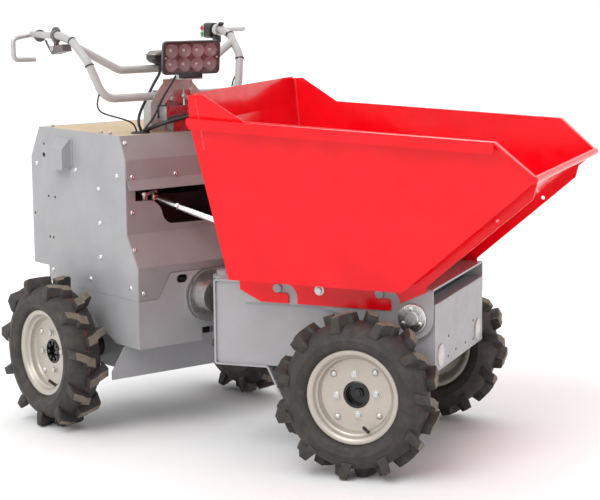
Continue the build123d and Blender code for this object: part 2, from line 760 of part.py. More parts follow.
with BuildPart() as side_hood:
    with BuildSketch(cross_plane(REAR, -480)):
        with BuildLine():
            Polyline((-rear_half, 785), (-rear_half - 29, 756), (-rear_half - 29, 698), (-rear_half, 698),
                     close=True)
        make_face()
    extrude(amount=72)
    with BuildSketch(cross_plane(REAR, -478)):
        with BuildLine():
            Polyline((-rear_half, 782), (-rear_half - 27, 755), (-rear_half - 27, 690), (-rear_half, 690),
                     close=True)
        make_face()
    extrude(amount=68, mode=Mode.SUBTRACT)
    with BuildSketch(side_plane(REAR, -rear_half)):
        with Locations((-404, 747)):
            Rectangle(12, 76)
    extrude(amount=2)
keep(side_hood, "side_hood")

# ---------------------------------------------------------------------------
# Console and lamp
# ---------------------------------------------------------------------------
with BuildPart() as console_post:
    with BuildSketch(cross_plane(REAR, post_u - panel_t)):
        with BuildLine():
            right_edge = [(90, board_z), (90, 880), (72, 912), (60, 925), (48, 938), (48, shelf_z)]
            Polyline(*right_edge, *[(-v, z) for v, z in right_edge[::-1]], close=True)
        make_face()
    extrude(amount=panel_t)
    with BuildSketch(level_plane(REAR, board_z)):
        with Locations((post_u - panel_t - 40, 0)):
            Rectangle(80, 120)
    extrude(amount=panel_t)
    with BuildSketch(level_plane(REAR, board_z)):
        with Locations((post_u - panel_t - 40, 58.5), (post_u - panel_t - 40, -58.5)):
            Rectangle(80, panel_t)
    extrude(amount=bar_z - clamp_h / 2 - board_z)
keep(console_post, "console_post")

with BuildPart() as bar_clamp:
    with BuildSketch(level_plane(REAR, bar_z - clamp_h / 2)):
        with Locations(((bar_u - 27 + post_u - panel_t) / 2, 0)):
            Rectangle(post_u - panel_t - bar_u + 27, 104)
    extrude(amount=clamp_h)
    with BuildSketch(side_plane(REAR, 60)):
        with Locations((bar_u, bar_z)):
            Circle(bar_r + shaft_fit)
    extrude(amount=120, mode=Mode.SUBTRACT)
keep(bar_clamp, "bar_clamp")

with BuildPart() as console_tray:
    # foot on the board, open channel above it, and stay plate up the front of the post
    with BuildSketch(level_plane(REAR, board_z)):
        with Locations((-185, 6)):
            Rectangle(34, 96)
    extrude(amount=tray_z - board_z)
    with BuildSketch(level_plane(REAR, tray_z)):
        with Locations((post_u + 20, 0)):
            Rectangle(40, 132)
    extrude(amount=40)
    with BuildSketch(level_plane(REAR, tray_z + panel_t)):
        with Locations((post_u + 20, 0)):
            Rectangle(40 - 2 * panel_t, 132 - 2 * panel_t)
    extrude(amount=40, mode=Mode.SUBTRACT)
    with BuildSketch(cross_plane(REAR, post_u)):
        with BuildLine():
            Polyline((-49, tray_z + 40), (49, tray_z + 40), (49, 918), (-14, 918), close=True)
        make_face()
    extrude(amount=panel_t)
keep(console_tray, "console_tray")

lamp_side = Vector(REAR.x_dir).rotate(Axis.Z, 90 - lamp_yaw)
lamp_ahead = Vector(REAR.x_dir).rotate(Axis.Z, -lamp_yaw).rotate(Axis((0, 0, 0), lamp_side), lamp_tilt)
LAMP = Plane(origin=REAR.from_local_coords(lamp_place), x_dir=lamp_side, z_dir=lamp_ahead)
with BuildPart() as headlight:
    with BuildSketch(LAMP.offset(-lens_t)):
        RectangleRounded(lamp_w, lamp_h, lamp_corner)
    extrude(amount=lens_t - lamp_rim)
    with BuildSketch(LAMP.offset(-lamp_rim)):
        RectangleRounded(lamp_w - 6, lamp_h - 6, lamp_corner)
    with BuildSketch(LAMP.offset(-lamp_d)):
        RectangleRounded(lamp_w - 44, lamp_h - 34, lamp_corner)
    loft()
    # gland of the lamp's cable
    with BuildSketch(level_plane(REAR, 959)):
        with Locations((-167, -32)):
            Circle(6)
    extrude(amount=20)
keep(headlight, "headlight")

with BuildPart() as headlight_lens:
    with BuildSketch(LAMP):
        RectangleRounded(lamp_w, lamp_h, lamp_corner)
    extrude(amount=-lens_t)
keep(headlight_lens, "headlight_lens")

with BuildPart() as lamp_bracket:
    with BuildSketch(level_plane(REAR, shelf_z)):
        with Locations(((post_u - panel_t + shelf_u) / 2, 7)):
            Rectangle(shelf_u - post_u + panel_t, 62)
    extrude(amount=panel_t)
    with BuildSketch(level_plane(REAR, shelf_z)):
        with Locations((-169, 7)):
            Rectangle(24, 54)
    extrude(amount=36)
    add(headlight.part, mode=Mode.SUBTRACT)
keep(lamp_bracket, "lamp_bracket")

# ---------------------------------------------------------------------------
# Handlebar and what is on it
# ---------------------------------------------------------------------------
half_bar = [(bar_u, -222, bar_z), (-260, -251, 1000), (-320, -263, 1056), (-372, -grip_v, grip_z),
            (bar_end_u, -grip_v, grip_z)]
bar_path = in_frame(REAR, *(half_bar[::-1] + [(u, -v, z) for u, v, z in half_bar]))
bend_radii = [45, 40, 45, 45]
cross_path = in_frame(REAR, (-303, -260, 1040), (cross_u, -142, cross_z), (cross_u, 142, cross_z),
                      (-303, 260, 1040))
with BuildPart() as handlebar:
    add(round_bar(bar_path, bend_radii + bend_radii[::-1], bar_r))
    add(round_bar(cross_path, [40, 40], cross_r))
keep(handlebar, "handlebar")

with BuildPart() as right_grip:
    with BuildSketch(level_plane(REAR, grip_z)):
        with BuildLine():
            u, v = bar_end_u, -grip_v
            Polyline((u, v), (u, v - 12.5), (u - 8, v - 12.5), (u - 8, v - 23), (u - 20, v - 23),
                     (u - 20, v - 8.5), (u - 72, v - 8.5), (u - 77, v - 16), (u - 84, v - 17.5),
                     (u - 100, v - 17.5), (u - 109, v - 9), (u - 109, v), close=True)
        make_face()
    revolve(axis=Axis(REAR.from_local_coords((0, -grip_v, grip_z)), REAR.x_dir))
keep(right_grip, "right_grip")

with BuildPart() as left_switch:
    with BuildSketch(cross_plane(REAR, bar_end_u)):
        with Locations((grip_v, grip_z - 3)):
            RectangleRounded(40, 46, 12)
    extrude(amount=-79)
    fillet(left_switch.edges().group_by(Axis((0, 0, 0), REAR.x_dir))[0], 8)
keep(left_switch, "left_switch")

with BuildPart() as hand_guards:
    guard_u = bar_end_u - 109
    with BuildSketch(cross_plane(REAR, guard_u)):
        with Locations((-grip_v, grip_z)):
            Circle(9)
    extrude(amount=-12)
    hook_u = guard_u - 9
    right_path = in_frame(REAR, (hook_u, -grip_v + 2, grip_z), (hook_u, -329, 1060),
                          (hook_u, -329, 1001), (hook_u, -262, 1000))
    add(round_bar(right_path, [14, 14], guard_r))
    with BuildSketch(cross_plane(REAR, bar_end_u + 8)):
        with Locations((grip_v, grip_z)):
            Circle(17)
            Circle(bar_r + shaft_fit, mode=Mode.SUBTRACT)
    extrude(amount=16)
    left_path = in_frame(REAR, (bar_end_u + 16, grip_v + 13, grip_z), (bar_end_u + 16, 366, grip_z),
                         (bar_end_u - 42, 366, grip_z - 1), (bar_end_u - 42, 306, grip_z - 1))
    add(round_bar(left_path, [14, 14], guard_r))
keep(hand_guards, "hand_guards")

with BuildPart() as lever_box:
    with BuildSketch(side_plane(REAR, -grip_v + 14)):
        with BuildLine():
            Polyline((-413, 1037), (-392, 1018), (-333, 1029), (-340, 1047), close=True)
        make_face()
    extrude(amount=28)
    with BuildSketch(cross_plane(REAR, bar_end_u + 8)):
        with Locations((-grip_v, grip_z)):
            Circle(bar_r + 4)
        with Locations((-grip_v, grip_z - 23)):
            Rectangle(10, 22)
    extrude(amount=12)
    with BuildSketch(cross_plane(REAR, bar_end_u + 4)):
        with Locations((-grip_v, grip_z)):
            Circle(bar_r + shaft_fit)
    extrude(amount=20, mode=Mode.SUBTRACT)
    add(round_bar(in_frame(REAR, (-398, -grip_v, 1032), (-432, -grip_v, 1037), (-447, -grip_v, 1055)),
                  [12], 3))
keep(lever_box, "lever_box")

with BuildPart() as display_pod:
    with BuildSketch(side_plane(REAR, 6)):
        with Locations((cross_u, (cross_z + pod_z) / 2)):
            Rectangle(24, pod_z - cross_z)
    extrude(amount=24)
    with BuildSketch(side_plane(REAR, 30)):
        with Locations((cross_u, cross_z)):
            Circle(cross_r + seat_gap)
    extrude(amount=80, mode=Mode.SUBTRACT)
    with BuildSketch(cross_plane(REAR, cross_u - 13)):
        with BuildLine():
            Polyline((-62, pod_z + 8), (-53, pod_z + 17), (-34, pod_z + 24), (40, pod_z + 26), (40, pod_z),
                     (-37, pod_z), (-53, pod_z + 3), close=True)
        make_face()
    extrude(amount=50)
keep(display_pod, "display_pod")

# ---------------------------------------------------------------------------
# Cables: straight runs joined by arcs as large as the runs allow
# ---------------------------------------------------------------------------
cables = (
    # name, sheath radius, route in the rear frame
    ("pod_cable", 4, ((-220, -110, board_z), (-222, -119, 824), (-228, -116, 844), (-238, -101, 865),
                      (-248, -80, 887), (-254, -62, 910), (-254, -44, 938), (-251, -27, 962),
                      (-252, -26, 982), (-256, -31, pod_z))),
    ("lamp_cable", 3, ((-191, -133, board_z), (-187, -116, 825), (-183, -98, 846), (-179, -83, 874),
                       (-174, -70, 903), (-170, -55, 926), (-168, -40, 945), (-167, -32, 959))),
    ("main_cable", 6, ((-207, -116, board_z), (-192, -105, 818), (-174, -90, 828), (-157, -70, 836),
                       (-147, -45, 842), (-142, -13, 847), (-142, 22, 849), (-148, 56, 844),
                       (-160, 86, 829), (-171, 101, board_z))),
    ("right_cable", 2.2, ((-228, -122, board_z), (-230, -125, 822), (-231, -134, 833), (-233, -153, 842),
                          (-235, -187, 852), (-236, -217, 861), (-236, -234, 870), (-236, -241, 884),
                          (-236, -239, 901), (-236, -233, 917))),
    ("left_cable", 2.2, ((-250, 241, 970), (-250, 233, 951), (-250, 220, 933), (-249, 214, 913),
                         (-249, 207, 893), (-248, 204, 875), (-247, 207, 859), (-247, 217, 848),
                         (-246, 231, 848), (-246, 241, 859), (-246, 244, 875), (-246, 240, 890),
                         (-247, 234, 905), (-248, 236, 925), (-249, 240, 943), (-250, 243, 959))),
)
for name, sheath_r, route in cables:
    points = in_frame(REAR, *route)
    radii = []
    for before, corner, after in zip(points, points[1:], points[2:]):
        turn = radians((corner - before).get_angle(after - corner))
        radii.append(0.45 * min((corner - before).length, (after - corner).length) / tan(turn / 2))
    with BuildPart() as cable:
        add(round_bar(points, radii, sheath_r))
    keep(cable, name)
    print(name, "diameter", 2 * sheath_r, "radii", [round(r) for r in radii])

# ---------------------------------------------------------------------------
# The origin lies on the ground under the middle of the machine.
# ---------------------------------------------------------------------------
boxes = [piece.bounding_box() for piece in pieces.values()]
middle_x = (min(b.min.X for b in boxes) + max(b.max.X for b in boxes)) / 2
middle_y = (min(b.min.Y for b in boxes) + max(b.max.Y for b in boxes)) / 2
pivot = (-middle_x, -middle_y)
for name, piece in pieces.items():
    placed = Pos(pivot[0], pivot[1], 0) * piece
    placed.label = name
    export_step(placed, f"parts/{name}.step")
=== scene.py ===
import json
import math

import bpy
from mathutils import Matrix, Vector


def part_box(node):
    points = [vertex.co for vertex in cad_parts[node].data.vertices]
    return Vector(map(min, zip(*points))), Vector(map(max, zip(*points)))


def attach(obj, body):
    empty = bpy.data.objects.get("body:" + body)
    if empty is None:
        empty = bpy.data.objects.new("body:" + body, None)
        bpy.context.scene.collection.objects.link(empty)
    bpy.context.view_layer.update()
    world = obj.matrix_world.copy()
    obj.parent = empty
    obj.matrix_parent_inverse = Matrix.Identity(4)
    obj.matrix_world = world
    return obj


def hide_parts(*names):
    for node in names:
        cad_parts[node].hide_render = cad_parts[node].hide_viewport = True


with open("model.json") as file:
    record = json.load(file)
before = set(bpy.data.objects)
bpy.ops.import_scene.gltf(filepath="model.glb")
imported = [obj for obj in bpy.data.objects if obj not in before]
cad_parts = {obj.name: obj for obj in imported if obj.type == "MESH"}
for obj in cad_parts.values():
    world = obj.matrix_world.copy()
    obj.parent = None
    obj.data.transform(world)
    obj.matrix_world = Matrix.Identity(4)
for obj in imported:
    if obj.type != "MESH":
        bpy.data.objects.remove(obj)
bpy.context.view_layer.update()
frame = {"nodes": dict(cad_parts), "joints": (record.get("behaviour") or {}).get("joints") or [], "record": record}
joints = {joint["name"]: joint for joint in frame["joints"]}

# ---------------------------------------------------------------------------
# Places.  The front frame points along +X.  The rear frame is turned about
# the steering pivot; its wheels' axis gives its sideways direction.
# ---------------------------------------------------------------------------
pivot = Vector(joints["steer"]["pos_m"])
pivot.z = 0
FRONT_X, FRONT_Y, UP = Vector((1, 0, 0)), Vector((0, 1, 0)), Vector((0, 0, 1))
REAR_Y = Vector(joints["rear_left_wheel_spin"]["axis"])
REAR_X = Vector((REAR_Y.y, -REAR_Y.x, 0))
SIDES = ((-1, "right"), (1, "left"))


def front(x, y, z):
    """A place on the front frame, given in millimetres from the steering pivot."""
    return pivot + (FRONT_X * x + FRONT_Y * y + UP * z) / 1000


def rear(u, v, z):
    """A place on the rear frame, given in millimetres from the steering pivot."""
    return pivot + (REAR_X * u + REAR_Y * v + UP * z) / 1000


# ---------------------------------------------------------------------------
# Material building blocks
# ---------------------------------------------------------------------------
class Finish:
    """A procedural material: a Principled shader fed by textures on Object coordinates."""

    def __init__(self, name):
        self.material = bpy.data.materials.new(name)
        self.material.use_nodes = True
        self.tree = self.material.node_tree
        self.tree.nodes.clear()
        output = self.node("OutputMaterial")
        self.shader = self.node("BsdfPrincipled")
        self.link(self.shader.outputs["BSDF"], output.inputs["Surface"])
        self.coords = self.node("TexCoord")

    def link(self, source, target):
        self.tree.links.new(source, target)

    def set(self, **values):
        for name, value in values.items():
            self.shader.inputs[name.replace("_", " ")].default_value = value

    def node(self, kind, **values):
        """A new node of the tree with the given values on its inputs."""
        node = self.tree.nodes.new("ShaderNode" + kind)
        for name, value in values.items():
            node.inputs[name.replace("_", " ")].default_value = value
        return node

    def place(self, stretch=(1, 1, 1), turn=0.0):
        mapping = self.node("Mapping", Scale=stretch, Rotation=(0, 0, turn))
        self.link(self.coords.outputs["Object"], mapping.inputs["Vector"])
        return mapping.outputs["Vector"]

    def noise(self, scale, detail=4.0, rough=0.55, stretch=(1, 1, 1), turn=0.0):
        node = self.node("TexNoise", Scale=scale, Detail=detail, Roughness=rough)
        self.link(self.place(stretch, turn), node.inputs["Vector"])
        return node.outputs["Fac"]

    def crystals(self, scale):
        node = self.node("TexVoronoi", Scale=scale)
        self.link(self.place(), node.inputs["Vector"])
        return node.outputs["Color"]

    def ramp(self, value, low, high, first=0.0, last=1.0):
        node = self.node("MapRange", From_Min=low, From_Max=high, To_Min=first, To_Max=last)
        self.link(value, node.inputs["Value"])
        return node.outputs["Result"]

    def mix(self, factor, first, second):
        node = self.tree.nodes.new("ShaderNodeMix")
        node.data_type = "RGBA"
        self.link(factor, node.inputs["Factor"])
        for socket, colour in (("A", first), ("B", second)):
            target = [s for s in node.inputs if s.name == socket and s.type == "RGBA"][0]
            if isinstance(colour, tuple):
                target.default_value = (*colour, 1)
            else:
                self.link(colour, target)
        return [s for s in node.outputs if s.type == "RGBA"][0]

    def colour(self, value):
        self.link(value, self.shader.inputs["Base Color"])

    def roughness(self, value):
        self.link(value, self.shader.inputs["Roughness"])

    def bump(self, height, distance, strength, below=None):
        node = self.node("Bump", Strength=strength, Distance=distance)
        self.link(height, node.inputs["Height"])
        if below is not None:
            self.link(below, node.inputs["Normal"])
        self.link(node.outputs["Normal"], self.shader.inputs["Normal"])
        return node.outputs["Normal"]


def painted(name, colour, dust, gloss, dust_and_sheen_amount, dent=0.0, sparkle=0.0, lacquer=0.25):
    """Sheet steel paint: faint mottling, blotches of dust (on the weld bead, paler pink blotches of painted
    sheen), a fine peel and shallow dents.
    """
    finish = Finish(name)
    finish.set(Metallic=sparkle, Coat_Weight=lacquer, Coat_Roughness=0.12, IOR=1.4)
    mottled = finish.mix(finish.ramp(finish.noise(9.0), 0.35, 0.65), colour,
                         tuple(c * 0.9 for c in colour))
    # The blotch colour is dust, and for the weld bead a paler pink that is painted sheen.
    dust_and_sheen_mask = finish.ramp(finish.noise(5.0, detail=8.0, rough=0.7), 0.5, 0.8, 0.0, dust_and_sheen_amount)
    finish.colour(finish.mix(dust_and_sheen_mask, mottled, dust))
    finish.roughness(finish.ramp(finish.noise(30.0, detail=6.0), 0.3, 0.7, gloss - 0.05, gloss + 0.12))
    peel = finish.bump(finish.noise(420.0, detail=2.0), 0.00015, 0.35)
    if dent:
        finish.bump(finish.noise(5.5, detail=1.0), dent, 0.6, below=peel)
    return finish.material


def plated(name, colour, gloss, grain=260.0, mottling=0.12):
    """Zinc or galvanised steel: soft crystals and a fine grain."""
    finish = Finish(name)
    finish.set(Metallic=1.0)
    darker = tuple(c * (1 - mottling * 2) for c in colour)
    finish.colour(finish.mix(finish.ramp(finish.crystals(grain), 0.1, 0.9), colour, darker))
    finish.roughness(finish.ramp(finish.noise(60.0), 0.3, 0.7, gloss - 0.06, gloss + 0.1))
    finish.bump(finish.noise(700.0, detail=2.0), 0.0001, 0.3)
    return finish.material


def moulded(name, colour, gloss, grain=900.0):
    """Moulded plastic or rubber with a fine grain."""
    finish = Finish(name)
    finish.colour(finish.mix(finish.ramp(finish.noise(14.0, detail=6.0), 0.4, 0.75), colour,
                             tuple(min(1.0, c * 1.35 + 0.006) for c in colour)))
    finish.roughness(finish.ramp(finish.noise(40.0), 0.3, 0.7, gloss - 0.06, gloss + 0.1))
    finish.bump(finish.noise(grain, detail=2.0), 0.00015, 0.4)
    return finish.material


skip_red = painted("skip_red_paint", (0.93, 0.0012, 0.010), (0.92, 0.030, 0.036), 0.13, 0.22, dent=0.006,
                   lacquer=0.0)
bar_grey = painted("bar_grey_paint", (0.50, 0.49, 0.48), (0.42, 0.40, 0.38), 0.36, 0.3)
# The covers' grey is the frame grey made darker: painted shade, where the skip shades the front and upper covers.
shaded_cover_grey = painted("cover_grey_painted_shade", (0.32, 0.315, 0.32), (0.30, 0.28, 0.26), 0.42, 0.3)
frame_grey = painted("frame_grey_paint", (0.40, 0.40, 0.415), (0.36, 0.34, 0.31), 0.42, 0.3)
rim_paint = painted("rim_paint", (0.54, 0.49, 0.43), (0.40, 0.36, 0.30), 0.36, 0.3, sparkle=0.45)
zinc = plated("zinc_plate", (0.66, 0.66, 0.64), 0.34)
galvanised = plated("galvanised_sheet", (0.60, 0.61, 0.61), 0.28, 90.0)
dark_steel = plated("oily_dark_steel", (0.09, 0.085, 0.08), 0.42)
black_plastic = moulded("black_plastic", (0.018, 0.018, 0.02), 0.42)
grip_rubber = moulded("grip_rubber", (0.10, 0.10, 0.105), 0.6)
cable_sheath = moulded("cable_sheath", (0.014, 0.014, 0.014), 0.38, 300.0)
battery_case = moulded("battery_case", (0.05, 0.055, 0.06), 0.5)


def tyre_rubber():
    finish = Finish("tyre_rubber")
    dust = finish.ramp(finish.noise(26.0, detail=8.0, rough=0.7), 0.42, 0.68)
    finish.colour(finish.mix(dust, (0.030, 0.027, 0.0255), (0.058, 0.049, 0.041)))
    finish.roughness(finish.ramp(finish.noise(60.0), 0.3, 0.7, 0.55, 0.8))
    finish.bump(finish.noise(500.0, detail=3.0), 0.0003, 0.4)
    return finish.material


def painted_stripe():
    """The thin red moulding line round the middle of the tread, half worn away."""
    finish = Finish("tyre_stripe")
    worn = finish.ramp(finish.noise(70.0, detail=5.0), 0.45, 0.6)
    finish.colour(finish.mix(worn, (0.30, 0.02, 0.02), (0.05, 0.04, 0.04)))
    finish.roughness(finish.ramp(finish.noise(60.0), 0.3, 0.7, 0.5, 0.7))
    return finish.material


def dusty_rubber():
    """The tops of the tread bars, dry and tan with ground-in dust."""
    finish = Finish("trodden_rubber")
    dust = finish.ramp(finish.noise(38.0, detail=8.0, rough=0.7), 0.3, 0.62)
    finish.colour(finish.mix(dust, (0.10, 0.085, 0.068), (0.235, 0.19, 0.145)))
    finish.roughness(finish.ramp(finish.noise(60.0), 0.3, 0.7, 0.7, 0.95))
    finish.bump(finish.noise(420.0, detail=4.0), 0.0004, 0.5)
    return finish.material


def plywood():
    finish = Finish("plywood_board")
    turn = math.atan2(REAR_X.y, REAR_X.x)
    grain = finish.noise(14.0, detail=8.0, rough=0.65, stretch=(1, 12, 1), turn=-turn)
    finish.colour(finish.mix(finish.ramp(grain, 0.35, 0.7), (0.62, 0.47, 0.30), (0.48, 0.34, 0.20)))
    finish.roughness(finish.ramp(grain, 0.3, 0.7, 0.5, 0.7))
    finish.bump(grain, 0.0006, 0.4)
    return finish.material


def lamp_glass():
    finish = Finish("lamp_glass")
    finish.set(Transmission_Weight=1.0, IOR=1.45, Roughness=0.03)
    finish.colour(finish.mix(finish.ramp(finish.noise(20.0), 0.4, 0.6), (0.93, 0.94, 0.95),
                             (0.88, 0.89, 0.90)))
    return finish.material


hub_black = painted("hub_black_paint", (0.012, 0.012, 0.013), (0.10, 0.09, 0.07), 0.16, 0.12)
rubber, tyre_stripe, trodden_rubber = tyre_rubber(), painted_stripe(), dusty_rubber()
board, glass = plywood(), lamp_glass()
finish_of_slot = {
    "skip_red": skip_red, "frame_grey": frame_grey, "rim_paint": rim_paint, "zinc": zinc,
    "galvanised": galvanised, "dark_steel": dark_steel, "black_plastic": black_plastic,
    "grip_rubber": grip_rubber, "cable": cable_sheath, "battery_case": battery_case, "tyre": rubber,
    "plywood": board, "lens": glass,
}
dull_galvanised = plated("dull_galvanised", (0.58, 0.58, 0.57), 0.52, 120.0, mottling=0.05)
lever_brown = moulded("lever_brown", (0.125, 0.105, 0.10), 0.35)
# The front and upper covers take the frame grey with painted shade.
finish_of_piece = {"handlebar": bar_grey, "upper_cover": shaded_cover_grey, "front_cover": shaded_cover_grey,
                   "console_post": dull_galvanised, "hand_guards": dull_galvanised, "lever_box": lever_brown}
for part in frame["record"]["subparts"]:
    node = frame["nodes"][part["node"]]
    for slot in node.material_slots:
        slot.material = finish_of_piece.get(part["node"], finish_of_slot[part["material_slot"]])

# ---------------------------------------------------------------------------
# Floor, light and camera
# ---------------------------------------------------------------------------
WORLD_STRENGTH = 0.56
SUNS = (
    # name, direction of travel, strength, angular size in degrees
    ("key_light", (0.22, 0.95, -1.0), 1.26, 42),
    ("left_light", (1.0, 0.3, -0.6), 0.06, 40),
    ("right_light", (-1.0, 0.3, -0.8), 0.06, 40),
    ("back_light", (0.1, -0.7, -1.0), 0.60, 50),
    ("top_light", (0.0, 0.05, -1.0), 0.72, 80))
EYE = Vector((1.9133, -4.5106, 1.2542))
FOCAL_LENGTH = 110.57
HEADING, LOOKING_DOWN, ROLL = math.radians(110.605), math.radians(8.8206), math.radians(-0.596)


def white_world():
    """A world that looks plain white, also in gloss and through glass, and lights the scene softly."""
    world = bpy.data.worlds.new("white_room")
    bpy.context.scene.world = world
    world.use_nodes = True
    nodes, link = world.node_tree.nodes, world.node_tree.links.new
    nodes.clear()
    output = nodes.new("ShaderNodeOutputWorld")
    lit, seen = (nodes.new("ShaderNodeBackground") for _ in range(2))
    for node in (lit, seen):
        node.inputs["Color"].default_value = (1, 1, 1, 1)
    lit.inputs["Strength"].default_value = WORLD_STRENGTH
    path = nodes.new("ShaderNodeLightPath")
    add_glossy, add_clear = (nodes.new("ShaderNodeMath") for _ in range(2))
    for node in (add_glossy, add_clear):
        node.operation = "MAXIMUM"
    mix = nodes.new("ShaderNodeMixShader")
    for source, target in ((path.outputs["Is Camera Ray"], add_glossy.inputs[0]),
                           (path.outputs["Is Glossy Ray"], add_glossy.inputs[1]),
                           (add_glossy.outputs[0], add_clear.inputs[0]),
                           (path.outputs["Is Transmission Ray"], add_clear.inputs[1]),
                           (add_clear.outputs[0], mix.inputs[0]),
                           (lit.outputs[0], mix.inputs[1]),
                           (seen.outputs[0], mix.inputs[2]),
                           (mix.outputs[0], output.inputs["Surface"])):
        link(source, target)


def white_floor():
    bpy.ops.mesh.primitive_plane_add(size=80, location=(0, 0, -0.0005))
    floor = bpy.context.object
    floor.name = "floor"
    finish = Finish("floor_white")
    finish.set(Roughness=0.9, Specular_IOR_Level=0.1)
    finish.colour(finish.mix(finish.ramp(finish.noise(0.6), 0.3, 0.7), (1.0, 1.0, 1.0),
                             (0.99, 0.99, 0.99)))
    floor.data.materials.append(finish.material)


def lights():
    """Broad lights: the key from over the viewpoint, one from the back, one from above, two weak sides."""
    for name, toward, strength, softness in SUNS:
        data = bpy.data.lights.new(name, "SUN")
        data.energy = strength
        data.angle = math.radians(softness)
        lamp = bpy.data.objects.new(name, data)
        bpy.context.collection.objects.link(lamp)
        lamp.rotation_euler = Vector(toward).to_track_quat("-Z", "Y").to_euler()


def camera():
    """The viewpoint: off the front wheel's side, a little above the skip, looking slightly down."""
    data = bpy.data.cameras.new("camera")
    data.sensor_width = 36
    data.lens = FOCAL_LENGTH
    data.clip_end = 200
    look = Vector((math.cos(HEADING) * math.cos(LOOKING_DOWN), math.sin(HEADING) * math.cos(LOOKING_DOWN),
                   -math.sin(LOOKING_DOWN)))
    right = look.cross(UP).normalized()
    above = right.cross(look)
    turned_right = right * math.cos(ROLL) + above * math.sin(ROLL)
    turned_above = above * math.cos(ROLL) - right * math.sin(ROLL)
    matrix = Matrix((turned_right, turned_above, -look)).transposed().to_4x4()
    matrix.translation = pivot + EYE
    eye = bpy.data.objects.new("camera", data)
    bpy.context.collection.objects.link(eye)
    eye.matrix_world = matrix
    bpy.context.scene.camera = eye


white_world()
white_floor()
lights()
camera()
bpy.context.scene.view_settings.view_transform = "Standard"

# ---------------------------------------------------------------------------
# Cables, on the rear body: their routes in millimetres from the steering pivot
# ---------------------------------------------------------------------------
CABLES = (
    # name, diameter, length, stiffness, route
    ("pod_cable", 8, 230, "medium", (
        (-220, -110, 806), (-222, -119, 824), (-228, -116, 844), (-238, -101, 865), (-248, -80, 887),
        (-254, -62, 910), (-254, -44, 938), (-251, -27, 962), (-252, -26, 982), (-256, -31, 1000))),
    ("lamp_cable", 6, 186, "medium", (
        (-191, -133, 806), (-187, -116, 825), (-183, -98, 846), (-179, -83, 874), (-174, -70, 903),
        (-170, -55, 926), (-168, -40, 945), (-167, -32, 959))),
    ("main_cable", 12, 268, "medium", (
        (-207, -116, 806), (-192, -105, 818), (-174, -90, 828), (-157, -70, 836), (-147, -45, 842),
        (-142, -13, 847), (-142, 22, 849), (-148, 56, 844), (-160, 86, 829), (-171, 101, 806))),
    ("right_cable", 4.4, 186, "limp", (
        (-228, -122, 806), (-230, -125, 822), (-231, -134, 833), (-233, -153, 842), (-235, -187, 852),
        (-236, -217, 861), (-236, -234, 870), (-236, -241, 884), (-236, -239, 901), (-236, -233, 917))),
    ("left_cable", 4.4, 262, "limp", (
        (-250, 241, 970), (-250, 233, 951), (-250, 220, 933), (-249, 214, 913), (-249, 207, 893),
        (-248, 204, 875), (-247, 207, 859), (-247, 217, 848), (-246, 231, 848), (-246, 241, 859),
        (-246, 244, 875), (-246, 240, 890), (-247, 234, 905), (-248, 236, 925), (-249, 240, 943),
        (-250, 243, 959))),
)


def cable(name, diameter, length, stiffness, route):
    run = bpy.data.curves.new(name + "_run", "CURVE")
    run.dimensions = "3D"
    run.bevel_depth = diameter / 2000
    run.bevel_resolution = 5
    run.resolution_u = 8
    run.use_fill_caps = True
    spline = run.splines.new("NURBS")
    spline.points.add(len(route) - 1)
    for point, place in zip(spline.points, route):
        point.co = (*rear(*place), 1)
    spline.order_u = 3
    spline.use_endpoint_u = True
    run.materials.append(cable_sheath)
    piece = bpy.data.objects.new(name + "_run", run)
    bpy.context.collection.objects.link(piece)
    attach(piece, "rear_body")
    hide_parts(name)


for entry in CABLES:
    cable(*entry)

# ---------------------------------------------------------------------------
# Bench work: every piece starts as a primitive, is shaped in edit mode, and is
# then stood in its place.  Sizes are in millimetres.
# ---------------------------------------------------------------------------
def metres(values):
    return tuple(value / 1000 for value in values)


SAME_POINT = 0.00002


def begin(add, name, **options):
    """Adds a primitive with nothing else selected."""
    if bpy.context.object and bpy.context.object.mode == "EDIT":
        bpy.ops.object.mode_set(mode="OBJECT")
    bpy.ops.object.select_all(action="DESELECT")
    add(**options)
    piece = bpy.context.object
    piece.name = name
    bpy.ops.object.transform_apply(location=True, rotation=True, scale=True)
    return piece


def block(name, middle, size):
    """A box by its middle and size."""
    return begin(bpy.ops.mesh.primitive_cube_add, name, size=1, location=metres(middle),
                 scale=metres(size))


def rod(name, middle, radius, length, sides, tip=None):
    """A round or many-sided bar along Z, narrowed to the tip radius at its top."""
    return begin(bpy.ops.mesh.primitive_cone_add, name, vertices=sides, radius1=radius / 1000,
                 radius2=(radius if tip is None else tip) / 1000, depth=length / 1000,
                 location=metres(middle))


def drawn(name, places):
    """A chain of edges through the places, in millimetres, left chosen in edit mode."""
    piece = begin(bpy.ops.mesh.primitive_plane_add, name, size=0.001, location=metres(places[0]))
    bpy.context.tool_settings.mesh_select_mode = (True, False, False)
    bpy.ops.object.mode_set(mode="EDIT")
    bpy.ops.mesh.select_all(action="SELECT")
    bpy.ops.mesh.merge(type="CENTER")
    for here, there in zip(places, places[1:]):
        step = metres(b - a for a, b in zip(here, there))
        bpy.ops.mesh.extrude_vertices_move(TRANSFORM_OT_translate={"value": step})
    bpy.ops.mesh.select_all(action="SELECT")
    return piece


def turned(name, profile, steps, rounded=0.0):
    """A lathe piece about Z: one point is drawn along the profile of radius and height, then spun."""
    piece = drawn(name, [(radius, 0, height) for radius, height in profile])
    bpy.ops.mesh.remove_doubles(threshold=SAME_POINT)
    if rounded:
        bpy.ops.mesh.bevel(offset=rounded / 1000, segments=2, affect="VERTICES", clamp_overlap=True)
    bpy.ops.mesh.select_all(action="SELECT")
    bpy.ops.mesh.spin(steps=steps, angle=math.tau, center=(0, 0, 0), axis=(0, 0, 1))
    bpy.ops.mesh.select_all(action="SELECT")
    bpy.ops.mesh.remove_doubles(threshold=SAME_POINT)
    bpy.ops.mesh.normals_make_consistent(inside=False)
    return close_up(piece)


def lathe(name, profile, steps, smooth=40):
    """A turned piece, shaded smooth where its faces meet at less than the given angle."""
    return soften(turned(name, profile, steps), 0, smooth=smooth)


